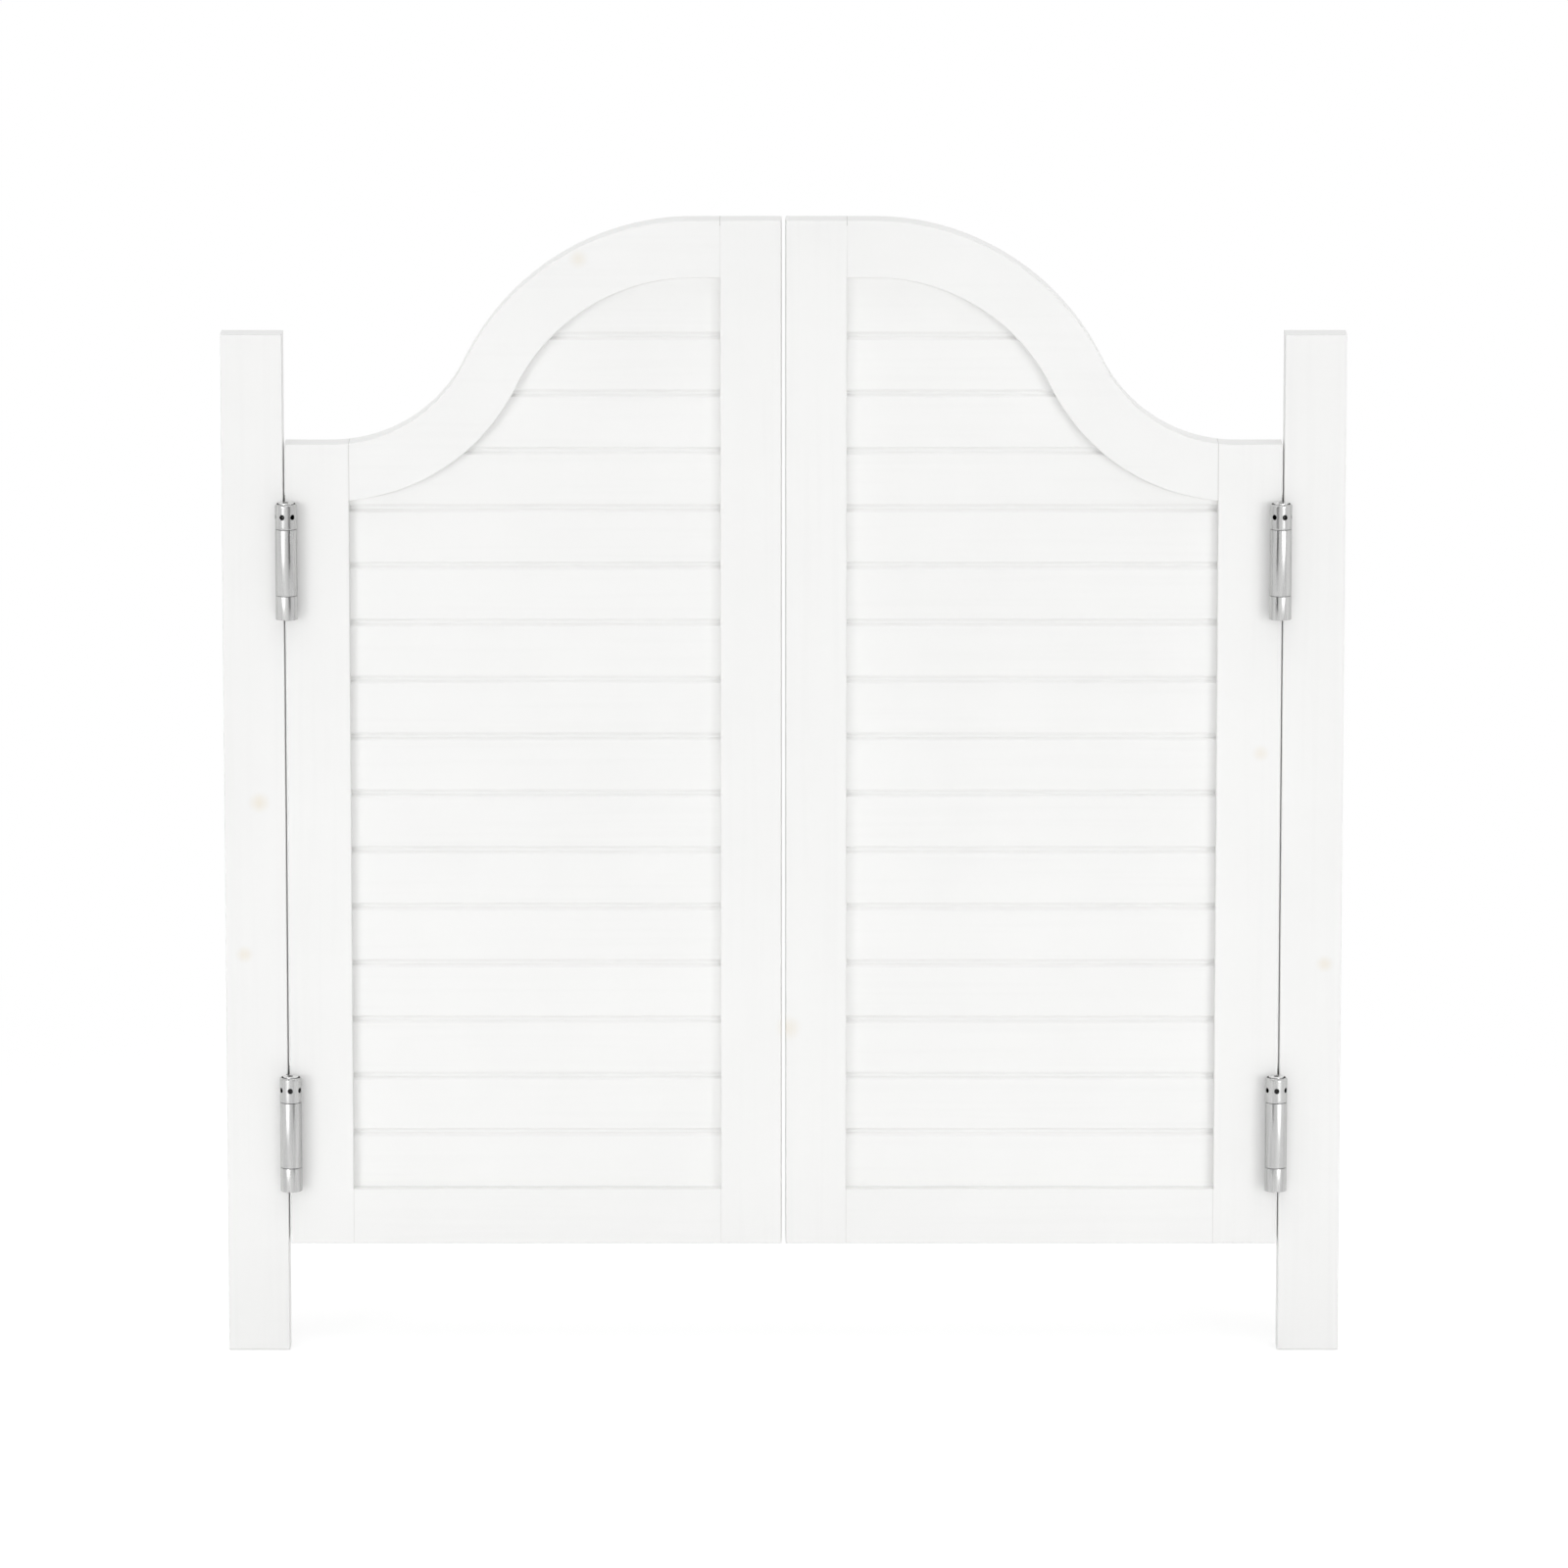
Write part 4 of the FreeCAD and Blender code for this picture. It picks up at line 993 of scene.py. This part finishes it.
def studio_floor(radius=3.0):
    """A round floor of rings: (r cos t, r sin t, z), white where it ends, so it has no edge."""
    rows, columns, lift_strength = 13, 64, 0.31
    rings = np.linspace(0, radius, rows)[:, None]
    around = np.linspace(0, 2 * np.pi, columns, endpoint=False)[None, :]
    flat = np.full((rows, columns), -0.3 * MM)
    grid = np.stack([rings * np.cos(around), rings * np.sin(around), flat], -1)
    faces = grid_faces(rows, columns, False, True)
    mesh = bpy.data.meshes.new("studio_floor")
    mesh.from_pydata(grid.reshape(-1, 3).tolist(), [], faces.tolist())
    floor = bpy.data.objects.new("studio_floor", mesh)
    bpy.context.scene.collection.objects.link(floor)
    material = bpy.data.materials.new("matt white studio floor")
    material.use_nodes = True
    tree = material.node_tree
    tree.nodes.clear()
    place = add_node(tree, "ShaderNodeTexCoord").outputs["Object"]
    away = add_node(tree, "ShaderNodeVectorMath", {0: place}, operation="LENGTH").outputs[1]
    far = ramp(tree, away, 0.75, 1.7, smooth=True)
    _, seen = direct_rays(tree)
    paint = add_node(tree, "ShaderNodeBsdfDiffuse", {0: linear("#F2F2F2")}).outputs[0]
    lift = math_node(tree, "MULTIPLY", seen, lift_strength)
    lift = add_node(tree, "ShaderNodeEmission", {0: (1, 1, 1, 1), 1: lift}).outputs[0]
    near = add_node(tree, "ShaderNodeAddShader", {0: paint, 1: lift}).outputs[0]
    white = add_node(tree, "ShaderNodeEmission", {0: (1, 1, 1, 1), 1: 1.0}).outputs[0]
    mix = math_node(tree, "MULTIPLY", far, seen)
    out = add_node(tree, "ShaderNodeMixShader", {0: mix, 1: near, 2: white}).outputs[0]
    add_node(tree, "ShaderNodeOutputMaterial", {"Surface": out})
    mesh.materials.append(material)
    return floor


def studio_walls(tree):
    """Three levels by direction: the wall behind, the gaps beside the front screen, overhead.

    The bearing of a direction is the angle from the front, arctan(x / -y), taken without its
    sign. The wall is 1 from a bearing of 80 degrees on and ends about 28 degrees up. The second
    level is 1 and falls smoothly to its least at the middle of a gap. The third rises from 0 at
    30 degrees up to 1 at 58 degrees up.
    """
    way = add_node(tree, "ShaderNodeTexCoord").outputs["Generated"]
    x, y, z = add_node(tree, "ShaderNodeSeparateXYZ", {0: way}).outputs
    ahead = math_node(tree, "MULTIPLY", y, -1.0)
    bearing = math_node(tree, "ABSOLUTE", math_node(tree, "ARCTAN2", x, ahead))
    off = math_node(tree, "ABSOLUTE", math_node(tree, "SUBTRACT", bearing, math.radians(37)))
    behind = ramp(tree, bearing, math.radians(80), math.radians(95))
    behind = math_node(tree, "MULTIPLY", behind, ramp(tree, z, 0.4, 0.55, 1.0, 0.0))
    gaps = ramp(tree, off, math.radians(8), math.radians(17), 0.03, 1.0, smooth=True)
    above = ramp(tree, z, 0.5, 0.85)
    return behind, gaps, above


class CAFE_OT_studio(bpy.types.Operator):
    """Set up the floor, lamps, even light and camera"""

    bl_idname = "cafe.studio"
    bl_label = "Set Up Studio"

    def execute(self, context):
        studio = context.scene.cafe_studio
        scene = context.scene
        scene.view_settings.view_transform = "Standard"
        scene.cycles.diffuse_bounces = 8
        studio_floor()
        for side, sign in (("left", -1), ("right", 1)):
            place, aim = (1.12 * sign, -0.9, 0.6), (0.55 * sign, 0, 0.5)
            area_lamp(f"side lamp, {side}", place, aim, (1.0, 1.6), studio.key, spread=40)
        area_lamp("top lamp", (0, -0.9, 2.4), (0, 0, 0.4), (1.6, 1.6), studio.top)
        place, aim = (0, -3.5, 1.0), (0, 0, 0.45)
        area_lamp("front lamp", place, aim, (3.0, 1.0), studio.front, mirrored=False)
        world = bpy.data.worlds.new("white studio")
        scene.world = world
        world.use_nodes = True
        tree = world.node_tree
        tree.nodes.clear()
        rays, seen = direct_rays(tree)
        behind, gaps, above = studio_walls(tree)
        seen = math_node(tree, "MAXIMUM", seen, behind)
        strength = ramp(tree, seen, 0.0, 1.0, studio.fill, 1.0)
        above = math_node(tree, "MULTIPLY", above, studio.overhead)
        above = math_node(tree, "MULTIPLY", above, rays["Is Diffuse Ray"])
        strength = math_node(tree, "ADD", strength, above)
        open_to = math_node(tree, "MAXIMUM", rays["Is Camera Ray"], rays["Is Diffuse Ray"])
        level = math_node(tree, "MAXIMUM", open_to, gaps)
        strength = math_node(tree, "MULTIPLY", strength, level)
        light = add_node(tree, "ShaderNodeBackground", {0: (1, 1, 1, 1), 1: strength}).outputs[0]
        add_node(tree, "ShaderNodeOutputWorld", {"Surface": light})
        data = bpy.data.cameras.new("studio camera")
        data.lens = studio.lens
        data.sensor_width = 36
        camera = bpy.data.objects.new("studio camera", data)
        scene.collection.objects.link(camera)
        rise = math.radians(studio.elevation)
        back = Vector((0, -math.cos(rise), math.sin(rise)))
        camera.location = Vector((0.4 * MM, 0, studio.aim)) + back * studio.distance
        camera.rotation_euler = (-back).to_track_quat("-Z", "Y").to_euler()
        data.clip_start, data.clip_end = 0.05, 100
        scene.camera = camera
        return {"FINISHED"}


OPERATORS = (
    CAFE_OT_paint_posts,
    CAFE_OT_paint_frames,
    CAFE_OT_paint_boards,
    CAFE_OT_middle_leaves,
    CAFE_OT_jamb_leaves,
    CAFE_OT_door_leaves,
    CAFE_OT_collars,
    CAFE_OT_pins,
    CAFE_OT_springs,
    CAFE_OT_jamb_screws,
    CAFE_OT_door_screws,
    CAFE_OT_studio,
)


class CAFE_PT_doors(bpy.types.Panel):
    """Lists every step of the doors and the studio"""

    bl_label = "Cafe Doors"
    bl_idname = "CAFE_PT_doors"
    bl_space_type = "VIEW_3D"
    bl_region_type = "UI"
    bl_category = "Cafe Doors"

    def draw(self, context):
        for group in ("cafe_hinge", "cafe_paint", "cafe_steel", "cafe_studio"):
            box = self.layout.box()
            settings = getattr(context.scene, group)
            for key in settings.bl_rna.properties.keys():
                if key not in ("rna_type", "name"):
                    box.prop(settings, key)
        for operator in OPERATORS:
            self.layout.operator(operator.bl_idname)


GROUPS = {
    "cafe_hinge": CafeHingeSizes,
    "cafe_paint": CafePaintLook,
    "cafe_steel": CafeSteelLook,
    "cafe_studio": CafeStudio,
}


def register():
    for name, group in GROUPS.items():
        bpy.utils.register_class(group)
        setattr(bpy.types.Scene, name, bpy.props.PointerProperty(type=group))
    for operator in OPERATORS:
        bpy.utils.register_class(operator)
    bpy.utils.register_class(CAFE_PT_doors)


def unregister():
    bpy.utils.unregister_class(CAFE_PT_doors)
    for operator in reversed(OPERATORS):
        bpy.utils.unregister_class(operator)
    for name, group in GROUPS.items():
        delattr(bpy.types.Scene, name)
        bpy.utils.unregister_class(group)


def main():
    """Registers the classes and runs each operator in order."""
    register()
    for operator in OPERATORS:
        category, name = operator.bl_idname.split(".")
        getattr(getattr(bpy.ops, category), name)()


if __name__ == "__main__":
    main()
